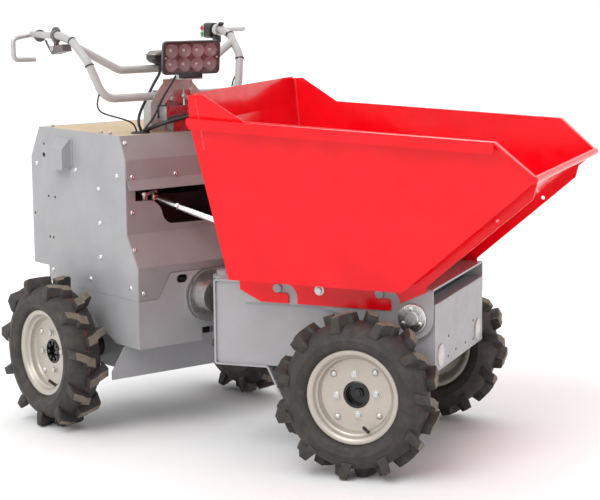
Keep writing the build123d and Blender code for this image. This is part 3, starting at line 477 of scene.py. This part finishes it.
def choose(piece, kind, test):
    """Opens a piece with only the faces, edges or points chosen whose middle, in mm, passes the test."""
    if bpy.context.object and bpy.context.object.mode == "EDIT":
        bpy.ops.object.mode_set(mode="OBJECT")
    bpy.ops.object.select_all(action="DESELECT")
    bpy.context.view_layer.objects.active = piece
    piece.select_set(True)
    mesh = piece.data
    for items in (mesh.vertices, mesh.edges, mesh.polygons):
        items.foreach_set("select", [False] * len(items))
    if kind == "faces":
        for face in mesh.polygons:
            face.select = bool(test(face.center * 1000, face.normal))
    elif kind == "edges":
        for edge in mesh.edges:
            a, b = (mesh.vertices[i].co * 1000 for i in edge.vertices)
            edge.select = bool(test((a + b) / 2, (b - a).normalized()))
    else:
        for point in mesh.vertices:
            point.select = bool(test(point.co * 1000))
    bpy.context.tool_settings.mesh_select_mode = (kind == "points", kind == "edges", kind == "faces")
    bpy.ops.object.mode_set(mode="EDIT")


def middle_of_chosen(piece):
    piece.update_from_editmode()
    chosen = [point.co for point in piece.data.vertices if point.select]
    return sum(chosen, Vector()) / len(chosen)


def grow(piece, shift, spread=(1, 1, 1), turn=0.0):
    """Extrudes the chosen faces by a shift, turns them about Z and scales them about their own middle."""
    bpy.ops.mesh.extrude_region_move(TRANSFORM_OT_translate={"value": metres(shift)})
    if turn:
        bpy.ops.transform.rotate(value=-turn, orient_axis="Z", center_override=(0, 0, 0))
    if spread != (1, 1, 1):
        bpy.ops.transform.resize(value=spread, center_override=tuple(middle_of_chosen(piece)))


def inset(*steps):
    """Insets the chosen faces by each thickness and raises them by each depth in turn, in millimetres."""
    for thickness, depth in steps:
        bpy.ops.mesh.inset(thickness=thickness / 1000, depth=depth / 1000)


def close_up(piece):
    """Back to object mode."""
    if piece.mode == "EDIT":
        bpy.ops.object.mode_set(mode="OBJECT")
    return piece


def soften(piece, width, segments=2, angle=30, smooth=40):
    """Rounds the sharp edges with an applied bevel and shades the rest smooth."""
    close_up(piece)
    bpy.ops.object.select_all(action="DESELECT")
    bpy.context.view_layer.objects.active = piece
    piece.select_set(True)
    if width:
        bevel = piece.modifiers.new("rounded_edges", "BEVEL")
        bevel.width = width / 1000
        bevel.segments = segments
        bevel.limit_method = "ANGLE"
        bevel.angle_limit = math.radians(angle)
        bpy.ops.object.modifier_apply(modifier=bevel.name)
    bpy.ops.object.shade_smooth_by_angle(angle=math.radians(smooth))
    return piece


def join(name, first, *others):
    """Joins pieces into the first."""
    close_up(first)
    first.name = name
    if not others:
        return first
    bpy.ops.object.select_all(action="DESELECT")
    for other in others:
        other.select_set(True)
    first.select_set(True)
    bpy.context.view_layer.objects.active = first
    bpy.ops.object.join()
    return first


def coat(piece, *materials):
    piece.data.materials.clear()
    for material in materials:
        piece.data.materials.append(material)
    return piece


def stand(piece, place, across=None, axis=None):
    """Stands a piece modelled at the origin in its place: its Z goes along axis, its X along across."""
    axis = (axis or UP).normalized()
    across = (across or FRONT_X)
    across = (across - axis * across.dot(axis)).normalized()
    up_side = axis.cross(across)
    turn = Matrix((across, up_side, axis)).transposed().to_4x4()
    turn.translation = place
    piece.data.transform(turn)
    return piece


def rounded_block(name, middle, size, corner, way=2, steps=5):
    """A box whose four edges along one direction, 0 to 2 for X to Z, are rounded."""
    piece = block(name, middle, size)
    choose(piece, "edges", lambda at, run: abs(run[way]) > 0.9)
    bpy.ops.mesh.bevel(offset=corner / 1000, segments=steps, affect="EDGES")
    return close_up(piece)


def bent_rod(name, places, radius, bend):
    """A round bar bent through the places, with its inner corners rounded."""
    piece = drawn(name, places)
    bpy.ops.mesh.bevel(offset=bend / 1000, segments=6, affect="VERTICES", clamp_overlap=True)
    close_up(piece)
    bpy.ops.object.convert(target="CURVE")
    piece = bpy.context.object
    piece.data.bevel_depth = radius / 1000
    piece.data.bevel_resolution = 2
    piece.data.use_fill_caps = True
    bpy.ops.object.convert(target="MESH")
    piece = bpy.context.object
    piece.name = name
    return soften(piece, 0, smooth=50)


def shift(piece, x, y, z):
    """Moves a piece's mesh by millimetres."""
    piece.data.transform(Matrix.Translation(metres((x, y, z))))
    return piece


def spin(piece, angle):
    """Turns a piece's mesh about Z."""
    piece.data.transform(Matrix.Rotation(angle, 4, "Z"))
    return piece


def fitted(piece, body, slot, *materials):
    """Gives a finished piece its materials and its moving body; its slot argument is not used."""
    if materials:
        coat(piece, *materials)
    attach(piece, body)
    return piece


def row_of(name, pattern, places, outward, body, slot, across=None):
    """Copies of one fastener, each standing in its own place."""
    copies = []
    for place in places:
        twin = copy_of(pattern, name)
        stand(twin, place, across=across, axis=outward)
        copies.append(twin)
    scrap(pattern)
    return fitted(join(name, *copies), body, slot)


def copy_of(piece, name):
    twin = piece.copy()
    twin.data = piece.data.copy()
    twin.name = name
    bpy.context.collection.objects.link(twin)
    return twin


def scrap(piece):
    bpy.data.objects.remove(piece)


# ---------------------------------------------------------------------------
# Wheels, made lying about Z with their outer face up
# ---------------------------------------------------------------------------
LUGS = 11
TREAD_RADIUS = 0.2005
WASHER = 1.2


def tread_lug():
    """One tread bar: from the middle of the tread out over the shoulder and down the side wall."""
    lug = block("tread_lug", (0, 193.4, -6), (25, 27, 2))
    choose(lug, "faces", lambda at, normal: normal.z > 0.9)
    grow(lug, (0, 0, 13), turn=0.020)
    grow(lug, (0, 0, 11), spread=(1.16, 1, 1), turn=0.022)
    grow(lug, (0, -0.4, 2.5), spread=(0.80, 1, 1), turn=0.026)
    grow(lug, (0, -2.2, 20), spread=(0.88, 1.10, 1), turn=0.044)
    grow(lug, (0, -8.5, 8.5), spread=(1.0, 1.45, 1), turn=0.012)
    grow(lug, (0, 1.0, 3.6), spread=(0.92, 0.60, 1))
    choose(lug, "points", lambda at: at.to_2d().length < 186)
    bpy.ops.transform.resize(value=(1.3, 1, 1), center_override=tuple(middle_of_chosen(lug)))
    return soften(lug, 1.3, 2, 35, 30)


def tyre():
    """The round casing with its two rows of tread bars."""
    half = [(103, 30), (117, 31.5), (119.4, 34), (120.2, 38), (122.5, 43), (128, 47.5), (136, 50.5),
            (143, 52), (144.6, 53.4), (146.4, 53.2), (148, 52.2), (156, 51), (165, 47.5), (173, 41),
            (179.5, 31), (183.5, 19), (185.2, 8), (185.6, 1.4)]
    outline = half + [(radius, -height) for radius, height in reversed(half)] + [half[0]]
    casing = lathe("tyre_casing", outline, 132, 50)
    pattern = tread_lug()
    lugs = []
    for number in range(LUGS):
        for far_side in (0, 1):
            lug = copy_of(pattern, "lug")
            if far_side:
                lug.data.transform(Matrix.Scale(-1, 4, UP))
                lug.data.flip_normals()
            lugs.append(spin(lug, math.tau * (number + far_side / 2) / LUGS))
    scrap(pattern)
    whole = coat(join("tyre", casing, *lugs), rubber, tyre_stripe, trodden_rubber)
    for face in whole.data.polygons:
        out = face.center.to_2d()
        on_stripe = abs(face.center.z) < 0.001 and 0.18 < out.length < 0.19
        on_top = out.length > TREAD_RADIUS and face.normal.to_2d().dot(out.normalized()) > 0.8
        face.material_index = 1 if on_stripe else 2 if on_top else 0
    return whole


def hex_bolt(radius, height, washer=0.0):
    """A hexagon head with chamfered corners on its washer, standing on z = 0."""
    head = rod("bolt", (0, 0, WASHER + height / 2), radius, height, 6)
    choose(head, "faces", lambda at, normal: normal.z > 0.9)
    inset((radius * 0.13, 0))
    bpy.ops.transform.translate(value=metres((0, 0, height * 0.12)))
    soften(head, 0.3, 2, 25, 30)
    if not washer:
        return coat(head, zinc)
    ring = turned("washer", [(0, 0), (washer, 0), (washer, WASHER), (0, WASHER)], 28, 0.3)
    return coat(join("bolt", head, soften(ring, 0)), zinc)


def dome_bolt(radius, height):
    """A round-headed carriage bolt, standing on z = 0."""
    return coat(lathe("bolt", [(0, height), (radius * 0.45, height * 0.94), (radius * 0.8, height * 0.66),
                               (radius * 0.97, height * 0.25), (radius, 0), (0, 0)], 28, 45), zinc)


def rim():
    """Pressed steel rim with its disc in the wheel's middle plane."""
    outside = [(34, 1.5), (84, 1.5), (90, 3), (93.5, 8), (94.5, 14), (95.5, 19), (99.5, 21.5), (101.5, 25),
               (103, 30), (106, 33.2), (110, 35.4), (114, 36.2), (117.4, 35.4), (118.7, 33.4),
               (117.8, 31.8), (110, 31.6), (104.5, 29.5), (101.8, 26), (99, 20), (97.5, 14)]
    inside = [(97.5, -18), (101.8, -26), (104.5, -29.5), (110, -31.6), (117.8, -31.8), (118.7, -33.4),
              (117.4, -35.4), (114, -36.2), (110, -35.4), (106, -33.2), (103, -30), (100, -24), (94.5, -18),
              (94.5, -8), (92, -4), (84, -1.5), (34, -1.5), (34, 1.5)]
    return coat(lathe("rim", outside + inside, 112, 32), rim_paint)


def hub_body(bore):
    """A hub on its half shaft, turned with the given profile of its bore."""
    outside = [(0, -126.5), (14, -126.5), (14, -64.5), (40, -64.5), (45, -58), (45, -14), (63, -12),
               (63, -1.7), (33.6, -1.7), (33.6, 3.2), (31.5, 4.6)]
    return lathe("hub", outside + bore, 72, 35)


def open_hub():
    """Black hub on the half shaft, with its retaining bolt down inside the bore."""
    body = hub_body([(27.5, 3.6), (26, -15), (14, -15), (13, -9), (0, -9)])
    return coat(join("hub", body, shift(hex_bolt(9.5, 6, 12.5), 0, 0, -9.5)), hub_black)


def castle_hub():
    """Black hub whose bore is cut into eight square teeth."""
    body = hub_body([(29, 4.2), (27.5, -14), (12, -14), (11, -6), (0, -6)])
    teeth = [spin(soften(block("tooth", (23.5, 0, -5), (13, 9, 17)), 1.2), math.tau * number / 8)
             for number in range(8)]
    return coat(join("hub", body, *teeth), hub_black)


def valve_stem():
    """Rubber valve stem with its cap."""
    return coat(lathe("valve", [(0, -4), (5.8, -4), (5.6, 3), (4.4, 6), (4.0, 16), (4.3, 17), (4.3, 29),
                                (3.2, 31.5), (0, 31.5)], 20), cable_sheath)


def disc_bolts():
    """Four hexagon bolts round the hub and four round heads outside them."""
    stud, dome = hex_bolt(8.6, 6.2, 10.6), dome_bolt(8.6, 6)
    bolts = []
    for number in range(4):
        for pattern, reach, offset in ((stud, 51, 0), (dome, 76.5, math.pi / 4)):
            angle = math.tau * number / 4 + offset
            bolts.append(shift(copy_of(pattern, "bolt"), reach * math.cos(angle),
                               reach * math.sin(angle), 1.5))
    scrap(stud)
    scrap(dome)
    return join("bolts", *bolts)


WHEELS = (
    # name, turn of the tyre and of the rim in degrees
    ("front_right", 3.7, 5), ("front_left", 12, 20), ("rear_right", 8, 7), ("rear_left", 25, 31))
VALVE_LEAN, VALVE_AT = -43, -68


def wheels():
    tyre_pattern, rim_pattern, stem = tyre(), rim(), valve_stem()
    hubs = {"front": open_hub(), "rear": castle_hub()}
    bolt_set = disc_bolts()
    stem.data.transform(Matrix.Rotation(math.radians(VALVE_LEAN), 4, "Y"))
    shift(stem, 99, 0, 13)
    for name, tyre_turn, rim_turn in WHEELS:
        body = name + "_wheel"
        axis = -Vector(joints[body + "_spin"]["axis"])
        low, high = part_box(name + "_tyre")
        middle = (Vector(low) + Vector(high)) / 2
        outward = axis if "right" in name else -axis
        tread = spin(copy_of(tyre_pattern, name + "_tread"), math.radians(tyre_turn))
        stand(tread, middle, across=UP.cross(axis), axis=axis)
        fitted(tread, body, "tyre")
        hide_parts(name + "_tyre")
        hub = hubs[name.split("_")[0]]
        for pattern, part, slot, turn in ((rim_pattern, "rim_steel", "rim_paint", rim_turn),
                                          (hub, "hub", "dark_steel", rim_turn),
                                          (bolt_set, "wheel_bolts", "zinc", rim_turn),
                                          (stem, "valve", "tyre", VALVE_AT)):
            piece = spin(copy_of(pattern, name + "_" + part), math.radians(turn))
            stand(piece, middle, across=UP.cross(outward), axis=outward)
            fitted(piece, body, slot)
            if part == "rim_steel":
                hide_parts(name + "_rim")
    for pattern in (tyre_pattern, rim_pattern, stem, bolt_set, *hubs.values()):
        scrap(pattern)


wheels()

# ---------------------------------------------------------------------------
# Head lamp, made with its width along X, its height along Y and its glass facing up
# ---------------------------------------------------------------------------
LAMP_AHEAD = REAR_X * 0.9743 - REAR_Y * 0.1894 - UP * 0.1219
LAMP_SIDE = REAR_X * 0.1908 + REAR_Y * 0.9816
LAMP_PLACE = rear(-140, 3, 1006.7)
# The mauve of the reflector face, its bars and the cups is a painted reflection of the red skip ahead of the lamp
# on mirror-bright faces.
reflector = moulded("lamp_reflector_painted_reflection", (0.235, 0.145, 0.150), 0.25)
cup_mirror_painted_reflection = moulded("cup_mirror_painted_reflection", (0.40, 0.29, 0.29), 0.12)
# The LED domes are partly their own pale colour and partly a painted highlight: near white, for the glints in each
# cup.
led_resin_and_highlight = moulded("led_resin_and_highlight", (0.95, 0.93, 0.85), 0.10)
lamp_case = moulded("lamp_case", (0.030, 0.024, 0.025), 0.30)


def in_lamp(piece, slot, *materials):
    stand(piece, LAMP_PLACE, across=LAMP_SIDE, axis=LAMP_AHEAD)
    return fitted(piece, "rear_body", slot, *materials)


def lamp_housing():
    """Rounded rim with a sunk floor, and a back drawn in towards its flat."""
    case = rounded_block("headlight_case", (0, 0, -6), (168, 91, 12), 12, steps=6)
    choose(case, "faces", lambda at, normal: normal.z < -0.9)
    grow(case, (0, 0, -0.4), spread=(0.965, 0.935, 1))
    grow(case, (0, 0, -20.6), spread=(0.92, 0.90, 1))
    grow(case, (0, 0, -12), spread=(0.83, 0.745, 1))
    choose(case, "faces", lambda at, normal: normal.z > 0.9)
    inset((4.8, 0), (1.2, -1.6), (0.8, -13.0))
    soften(case, 1.0, 3, 35, 20)
    tab = soften(block("tab", (0, 44.2, -9), (15, 2.4, 9)), 0.8)
    lugs = [soften(block("lug", (side * 71, -29, -24), (10, 8, 14)), 1.0) for side in (-1, 1)]
    case = coat(join("headlight_case", case, tab, *lugs), lamp_case, reflector)
    for face in case.data.polygons:
        at = face.center * 1000
        face.material_index = 1 if -17 < at.z < -3 and abs(at.x) < 78.6 and abs(at.y) < 40.4 else 0
    in_lamp(case, "black_plastic")
    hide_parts("headlight")


def lamp_cups():
    """Eight round reflector cups in two rows between three bars, each with a small domed light."""
    cup = lathe("cup", [(4, -14.6), (7.5, -14.2), (11.5, -12), (14.6, -8.8), (16.6, -5.6), (17.6, -4.6),
                        (18.6, -4.6), (18.8, -5.6), (18.8, -15.4), (4, -15.4), (4, -14.6)], 40)
    light = lathe("light", [(0, -9.8), (2.2, -10.2), (3.8, -11.6), (4.6, -14.4), (4.6, -15.2), (0, -15.2)],
                  24, 45)
    cups, lights = [], []
    for row in (-1, 1):
        for place in (-1.5, -0.5, 0.5, 1.5):
            for pattern, rack in ((cup, cups), (light, lights)):
                rack.append(shift(copy_of(pattern, pattern.name), place * 38.2, row * 18.9, 0))
    scrap(cup)
    scrap(light)
    bars = [soften(block("bar", (0, y, -8), (154, 1.6, 6)), 0.4, 1) for y in (-38.4, 0, 38.4)]
    in_lamp(join("headlight_bars", *bars), "black_plastic", reflector)
    in_lamp(join("headlight_cups", *cups), "black_plastic", cup_mirror_painted_reflection)
    in_lamp(join("headlight_leds", *lights), "black_plastic", led_resin_and_highlight)


def lamp_lens():
    """Clear cover with a raised rounded line moulded inside its edge."""
    cover = rounded_block("headlight_cover", (0, 0, -2.4), (156.4, 79.4, 1.8), 7.5)
    choose(cover, "faces", lambda at, normal: normal.z > 0.9)
    inset((3.0, 0), (0.9, 0.9), (1.2, 0), (0.9, -0.9))
    in_lamp(soften(cover, 0, smooth=18), "lens", glass)
    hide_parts("headlight_lens")


def lamp_screws():
    screws = [shift(lathe("screw", [(0, 0.9), (1.6, 0.9), (1.6, 1.8), (2.6, 1.6), (3.1, 0.4), (3.1, -1.5),
                                    (0, -1.5)], 20, 35), side * 74.8, 0, -1.9) for side in (-1, 1)]
    in_lamp(join("headlight_screws", *screws), "zinc", zinc)


lamp_housing()
lamp_cups()
lamp_lens()
lamp_screws()

# ---------------------------------------------------------------------------
# Handles and console.  Pieces are made in the rear body's own directions, in
# millimetres from the steering pivot, and then stood there.
# ---------------------------------------------------------------------------
GRIP_U, GRIP_V, GRIP_Z = -405, 270, 1069
BOARD_TOP = 806
pod_bronze = plated("pod_bronze", (0.36, 0.31, 0.28), 0.34)
red_cap = moulded("red_cap", (0.60, 0.01, 0.02), 0.22)
green_cap = moulded("green_cap", (0.02, 0.32, 0.07), 0.22)
pale_plastic = moulded("pale_plastic", (0.60, 0.60, 0.58), 0.25)


def in_rear(piece, slot, *materials):
    stand(piece, rear(0, 0, 0), across=REAR_X)
    return fitted(piece, "rear_body", slot, *materials)


def near_handle():
    """Grey handle tube with a ribbed bulb, a bell ring on its inner side and a cable cup below."""
    tube = lathe("right_handle_tube", [(0, 0), (9.3, 0), (9.3, 106), (7.5, 108.6), (0, 108.6)], 40, 38)
    stand(tube, rear(GRIP_U, -GRIP_V, GRIP_Z), across=UP, axis=-REAR_X)
    fitted(tube, "rear_body", "galvanised", bar_grey)
    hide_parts("right_grip")
    profile = [(0, 0), (6, 0.6)]
    for rib in range(8):
        reach = 17.2 * math.sin(math.pi * (rib + 1) / 9) ** 0.6
        profile += [(reach - lower, height + rib * 4.0)
                    for lower, height in ((1.3, 2), (0, 3.1), (0, 4.3), (1.3, 5.4))]
    bulb = lathe("right_handle_bulb", profile + [(6, 35.4), (0, 36)], 40)
    stand(bulb, rear(-475, -261, 1066), across=UP, axis=-REAR_X)
    fitted(bulb, "rear_body", "grip_rubber", grip_rubber)
    ring = lathe("bell_ring", [(11, -5), (20, -5), (22.5, -3), (22.5, 3), (20, 5), (11, 5), (9.6, 3),
                               (9.6, -3), (11, -5)], 48)
    stand(ring, rear(-417, -254, 1069), across=UP, axis=REAR_Y)
    fitted(ring, "rear_body", "grip_rubber", grip_rubber)
    cup = lathe("handle_cup", [(0, 0.6), (4.6, 0.6), (5, 1.6), (7, 1.6), (7.6, 0.6), (7.6, -5), (0, -5)],
                32, 38)
    stand(cup, rear(-390, -285, 1034), across=UP, axis=-REAR_Y)
    fitted(cup, "rear_body", "galvanised", galvanised)


def switch_box():
    """Moulded switch housing on the far handle with its two round buttons, lever clamp and bell knob."""
    case = rounded_block("left_switch_case", (GRIP_U - 20, GRIP_V, GRIP_Z - 3), (40, 39, 45), 16, way=0)
    soften(case, 4, 4, 40)
    neck = rod("neck", (0, 0, 0), 16.5, 12, 40)
    neck.data.transform(Matrix.Rotation(math.pi / 2, 4, "Y"))
    soften(shift(neck, GRIP_U - 42, GRIP_V, GRIP_Z - 2), 1.2, 3, 40)
    case = in_rear(join("left_switch_case", case, neck), "black_plastic", black_plastic)
    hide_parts("left_switch")
    face = rounded_block("switch_face", (GRIP_U - 37, GRIP_V - 18.6, GRIP_Z - 4), (15, 3, 36), 5, way=1)
    in_rear(soften(face, 0.7), "black_plastic", pale_plastic)
    for name, height, cap in (("stop_button", 1073, red_cap), ("start_button", 1056, green_cap)):
        button = lathe(name, [(0, 4.2), (5, 3.8), (6.4, 2.6), (6.6, 0), (0, 0)], 32)
        stand(button, rear(GRIP_U - 37, GRIP_V - 19.0, height), across=UP, axis=-REAR_Y)
        fitted(button, "rear_body", "black_plastic", cap)
    clamp = rounded_block("lever_clamp", (-394, GRIP_V - 2, GRIP_Z - 27), (17, 20, 22), 5, way=1)
    in_rear(soften(clamp, 1.5), "black_plastic", black_plastic)
    knob = lathe("bell_knob", [(0, 12), (5, 11.6), (8, 9.5), (8.6, 6), (6.5, 2.5), (4, 1.5), (4, -4),
                               (0, -4)], 32)
    stand(knob, rear(-374, GRIP_V, 1079.6))
    fitted(knob, "rear_body", "black_plastic", black_plastic)


def cable_ties():
    """Thin bands round the bar with their locks and cut tails, two on each side."""
    ties = []
    for side in (-1, 1):
        for u, v, z, run in ((-321, 263, 1056, (-0.86, 0.12, 0.49)), (-257, 249.5, 991, (-0.42, 0.15, 0.89))):
            band = soften(turned("band", [(10.6, -1.7), (12.1, -1.7), (12.1, 1.7), (10.6, 1.7),
                                          (10.6, -1.7)], 32), 0)
            lock = soften(block("lock", (13.2, 0, 0), (4, 5, 4.5)), 0.6)
            tail = soften(block("tail", (14.4, 5, 0), (1.2, 9, 2.8)), 0.3, 1)
            along = REAR_X * run[0] + REAR_Y * (side * run[1]) + UP * run[2]
            ties.append(stand(join("band", band, lock, tail), rear(u, side * v, z), across=REAR_Y * -side,
                              axis=along))
    fitted(join("cable_ties", *ties), "rear_body", "black_plastic", black_plastic)


POD_U, POD_V, POD_Z = -265, -6, 1006


def instrument_pod():
    """Black case with a bronze lid whose near end slopes down, and four keys."""
    base = rounded_block("display_case", (POD_U, POD_V, POD_Z), (47, 86, 11.5), 5)
    choose(base, "faces", lambda at, normal: normal.z < -0.9)
    grow(base, (0, 2, -9), spread=(0.92, 0.86, 1))
    grow(base, (0, 8, -8), spread=(0.80, 0.62, 1))
    soften(base, 1.2)
    stalk = soften(block("stalk", (POD_U - 12, POD_V, POD_Z - 15.5), (22, 23, 19)), 1.5)
    base = in_rear(join("display_case", base, stalk), "black_plastic", lamp_case)
    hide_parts("display_pod")
    lid = block("display_lid", (POD_U, POD_V, POD_Z + 6.5), (50, 92, 2))
    choose(lid, "faces", lambda at, normal: normal.z > 0.9)
    grow(lid, (0, 0, 12), spread=(0.94, 0.95, 1))
    choose(lid, "points", lambda at: at.z > POD_Z + 14 and at.y < -40)
    bpy.ops.transform.translate(value=metres((0, 4, -11)))
    bpy.ops.mesh.select_all(action="SELECT")
    bpy.ops.mesh.bisect(plane_co=metres((0, -34, 0)), plane_no=(0, 1, 0))
    choose(lid, "points", lambda at: at.z > POD_Z + 9 and abs(at.y + 34) < 0.5)
    bpy.ops.transform.translate(value=metres((0, 0, 6.5)))
    in_rear(soften(lid, 1.8, 3, 18, 50), "black_plastic", pod_bronze)
    keys = [rounded_block("key", (POD_U + 3 + u, v, POD_Z + 20), (9, 12, 2), 2)
            for u in (-11, 11) for v in (8, 27)]
    in_rear(soften(join("display_keys", *keys), 0.5), "black_plastic", black_plastic)


def threaded_rod(name, height, low):
    """A threaded rod from a height upwards, with its nut a little below the middle."""
    profile = [(0, low)]
    for number in range(int(height / 2)):
        profile += [(2.5, low + number * 2.0), (3.1, low + number * 2.0 + 1.0)]
    piece = lathe(name, profile + [(2.5, low + height), (0, low + height + 0.8)], 16, 20)
    return join(name, piece, shift(hex_bolt(6.2, 4.6, 7.5), 0, 0, low + height * 0.42))


def console_hardware():
    """Threaded rods, grommets, tray edging, lamp foot and screws of the lamp console."""
    rods = [shift(threaded_rod(name, height, low), -176, v, 0)
            for name, height, low, v in (("near_rod", 56, 877, -1), ("far_rod", 42, 900, 24))]
    in_rear(join("console_rods", *rods), "zinc", zinc)
    grommets = [shift(lathe("grommet", [(0, -1), (size, -1), (size, 1.6), (size - 2.5, 3.6),
                                        (size - 6, 3.2), (size - 8, 1.6), (0, 1.6)], 48), u, v, BOARD_TOP)
                for u, v, size in ((-206, -124, 27), (-171, 101, 15))]
    in_rear(join("board_grommets", *grommets), "black_plastic", black_plastic)
    beading = [bent_rod("beading", ((-205, v, 843), (-205, v, 879), (-165, v, 879)), 2.2, 4)
               for v in (-67, 67)]
    in_rear(join("tray_edging", *beading), "black_plastic", black_plastic)
    foot = soften(rounded_block("lamp_foot", (-154, 8, 957.5), (20, 66, 13), 2), 1.0)
    in_rear(foot, "black_plastic", black_plastic)
    row_of("shelf_screws", dome_bolt(4.2, 2.2), [rear(-196, v, 951) for v in (-14, 28)], UP, "rear_body",
           "zinc")
    row_of("stay_bolts", hex_bolt(6.2, 4.2, 8.5), [rear(-202, v, 892) for v in (-22, 30)], REAR_X,
           "rear_body", "zinc")


near_handle()
switch_box()
cable_ties()
instrument_pod()
console_hardware()

# ---------------------------------------------------------------------------
# Fasteners and small fittings
# ---------------------------------------------------------------------------
bright_zinc = plated("bright_zinc", (0.82, 0.82, 0.81), 0.22, mottling=0.03)
painted_hole_shade = moulded("painted_hole_shade", (0.012, 0.010, 0.010), 0.7)
reflex_white = moulded("reflex_white", (0.52, 0.51, 0.50), 0.12, 700.0)
# The weld bead's paler pink blotches are painted sheen along the bead.
weld_red_and_sheen = painted("weld_bead_paint_and_sheen", (0.90, 0.012, 0.026), (0.95, 0.30, 0.30), 0.30, 0.5, dent=0.004,
                   lacquer=0.1)


def screw_head(radius):
    """A round socket head with its hexagon recess."""
    height = 3.4
    return coat(lathe("screw", [(0, 1.0), (radius * 0.42, 1.0), (radius * 0.45, height),
                                (radius * 0.75, height * 0.95), (radius * 0.95, height * 0.5),
                                (radius, 0), (0, 0)], 24), bright_zinc)


def hole_shade(radius):
    """A shallow dark dish of painted shade that stands for a drilled hole in sheet metal."""
    dish = turned("hole", [(0, 0.25), (radius * 0.9, 0.25), (radius, 0.45), (radius, -0.6), (0, -0.6)], 24)
    return coat(dish, painted_hole_shade)


BODY_SIDE = 224
SIDE_SCREWS = ((-595, 702), (-385, 700), (-173, 700), (-267, 657), (-264, 564), (-265, 470),
               (-520, 404), (-320, 403), (-118, 403))
SIDE_HOLES = ((-553, 760), (-535, 613), (-500, 613), (-534, 497), (-514, 497), (-612, 558))
COVER_SCREWS = (
    # name, distance from the pivot, places across and up, outward direction
    ("upper_cover_bolts", -151, ((-212, 789), (212, 789)), REAR_X * 0.92 + UP * 0.39),
    ("cover_bolts", -128.7, ((-205, 699), (-66, 698), (66, 698), (205, 699)), REAR_X),
    ("front_cover_bolts", -132, ((-205, 603), (205, 603)), REAR_X),
    ("bend_bolts", -109.6, ((-215, 506), (215, 506)), REAR_X * 0.862 + UP * 0.507),
    ("lower_bolts", -82, ((-207, 391), (207, 391)), REAR_X))
LID_BOLTS = ((-552, -195), (-287, -200), (-238, -203), (-552, 195), (-287, 200))


def body_fasteners():
    """Screws and holes of the side plates, of the stepped front covers and of the lid."""
    for side, name in SIDES:
        for part, pattern, places, slot in (("_side_screws", screw_head(6.6), SIDE_SCREWS, "zinc"),
                                            ("_side_holes", hole_shade(3.6), SIDE_HOLES, "dark_steel"),
                                            ("_lift_hole", hole_shade(6.5), ((-555, 729),), "dark_steel")):
            row_of(name + part, pattern, [rear(u, side * BODY_SIDE, z) for u, z in places], REAR_Y * side,
                   "rear_body", slot, across=UP)
    for name, u, places, outward in COVER_SCREWS:
        row_of(name, screw_head(6.2), [rear(u, v, z) for v, z in places], outward, "rear_body", "zinc",
               across=REAR_Y)
    row_of("lid_bolts", hex_bolt(6.4, 4.4, 9.0), [rear(u, v, BOARD_TOP) for u, v in LID_BOLTS], UP,
           "rear_body", "zinc", across=REAR_X)


NOSE = 655
NOSE_HOLES = ((-102, 322), (-36, 275), (56, 273.5), (131, 318.5), (132, 268), (-107, 271))


def tray_fittings():
    """Stop bolts behind the tray, and the round reflectors and holes of the nose plate."""
    body = "front_frame_body"
    stop = coat(hex_bolt(11, 7, 13), dark_steel)
    row_of("steering_stops", stop, [front(65, v, z) for v in (-217, 217) for z in (445, 289)], -FRONT_X,
           body, "dark_steel", across=FRONT_Y)
    lens = coat(lathe("reflector", [(0, 2.4), (24.5, 2.2), (25.5, 3.2), (28, 3.2), (28.5, 2.2), (28.5, 0),
                                    (0, 0)], 56), reflex_white)
    row_of("nose_reflectors", lens, [front(NOSE, v, 287) for v in (-175, 175)], FRONT_X, body,
           "galvanised", across=FRONT_Y)
    row_of("nose_holes", hole_shade(3.6), [front(NOSE, v, z) for v, z in NOSE_HOLES], FRONT_X, body,
           "dark_steel", across=FRONT_Y)


def tipping_discs():
    """Stepped bearing discs at both ends of the tipping shaft, with three bolts each."""
    disc = coat(lathe("disc", [(16.5, 0), (35.6, 0), (36.6, -0.9), (36.6, -4), (14, -4), (14, 2.4),
                               (16, 2.4), (16.5, 1.8), (16.5, 0)], 64, 35), bright_zinc)
    bolt = coat(hex_bolt(5.4, 3.0), bright_zinc)
    for side, name in SIDES:
        heads = [shift(copy_of(bolt, "head"), 25 * math.cos(math.radians(angle)),
                       25 * math.sin(math.radians(angle)), 0) for angle in (0, 120, 240)]
        whole = join(name + "_tipping_disc", copy_of(disc, name + "_disc"), *heads)
        stand(whole, front(600, side * 242.5, 388), across=UP, axis=FRONT_Y * side)
        fitted(whole, "tipper", "zinc")
    scrap(disc)
    scrap(bolt)


def tie_rod_sleeve():
    """Turnbuckle tube and its two lock nuts on the steering tie rod."""
    near, far = rear(-190, -99.5, 630.6), front(0, 58, 551)
    sleeve = lathe("tie_rod_sleeve", [(7, 76), (9, 77), (9, 189), (7, 190), (7, 76)], 32, 35)
    nuts = [soften(rod("lock_nut", (0, 0, height), 11.2, 10, 6), 0.8, 2, 25, 30) for height in (71, 195)]
    whole = join("tie_rod_sleeve", sleeve, *nuts)
    stand(whole, near, across=UP, axis=far - near)
    fitted(whole, "tie_rod_body", "zinc", bright_zinc)


BEADS = 9


def skip_fittings():
    """Runner bolts, and the weld beads inside the back corners."""
    for side, name in SIDES:
        row_of(name + "_runner_bolt", hex_bolt(9, 6, 12.7), [front(358, side * 239.5, 446)], FRONT_Y * side,
               "tipper", "zinc", across=UP)
    beads = []
    for side in (-1, 1):
        corner = [front(93 - 16 * part / BEADS, side * (334 + 14 * part / BEADS), 805 + 131 * part / BEADS)
                  for part in range(BEADS + 1)]
        for low, high in zip(corner, corner[1:]):
            bead = rod("bead", (0, 0, 0), 4.2, 17, 10, tip=3.4)
            choose(bead, "faces", lambda at, normal: abs(normal.z) > 0.9)
            inset((1.2, 1.5))
            soften(bead, 1.0, 2, 30, 60)
            beads.append(stand(bead, (low + high) / 2, across=FRONT_X, axis=high - low))
    fitted(join("skip_welds", *beads), "tipper", "skip_red", weld_red_and_sheen)


body_fasteners()
tray_fittings()
tipping_discs()
tie_rod_sleeve()
skip_fittings()
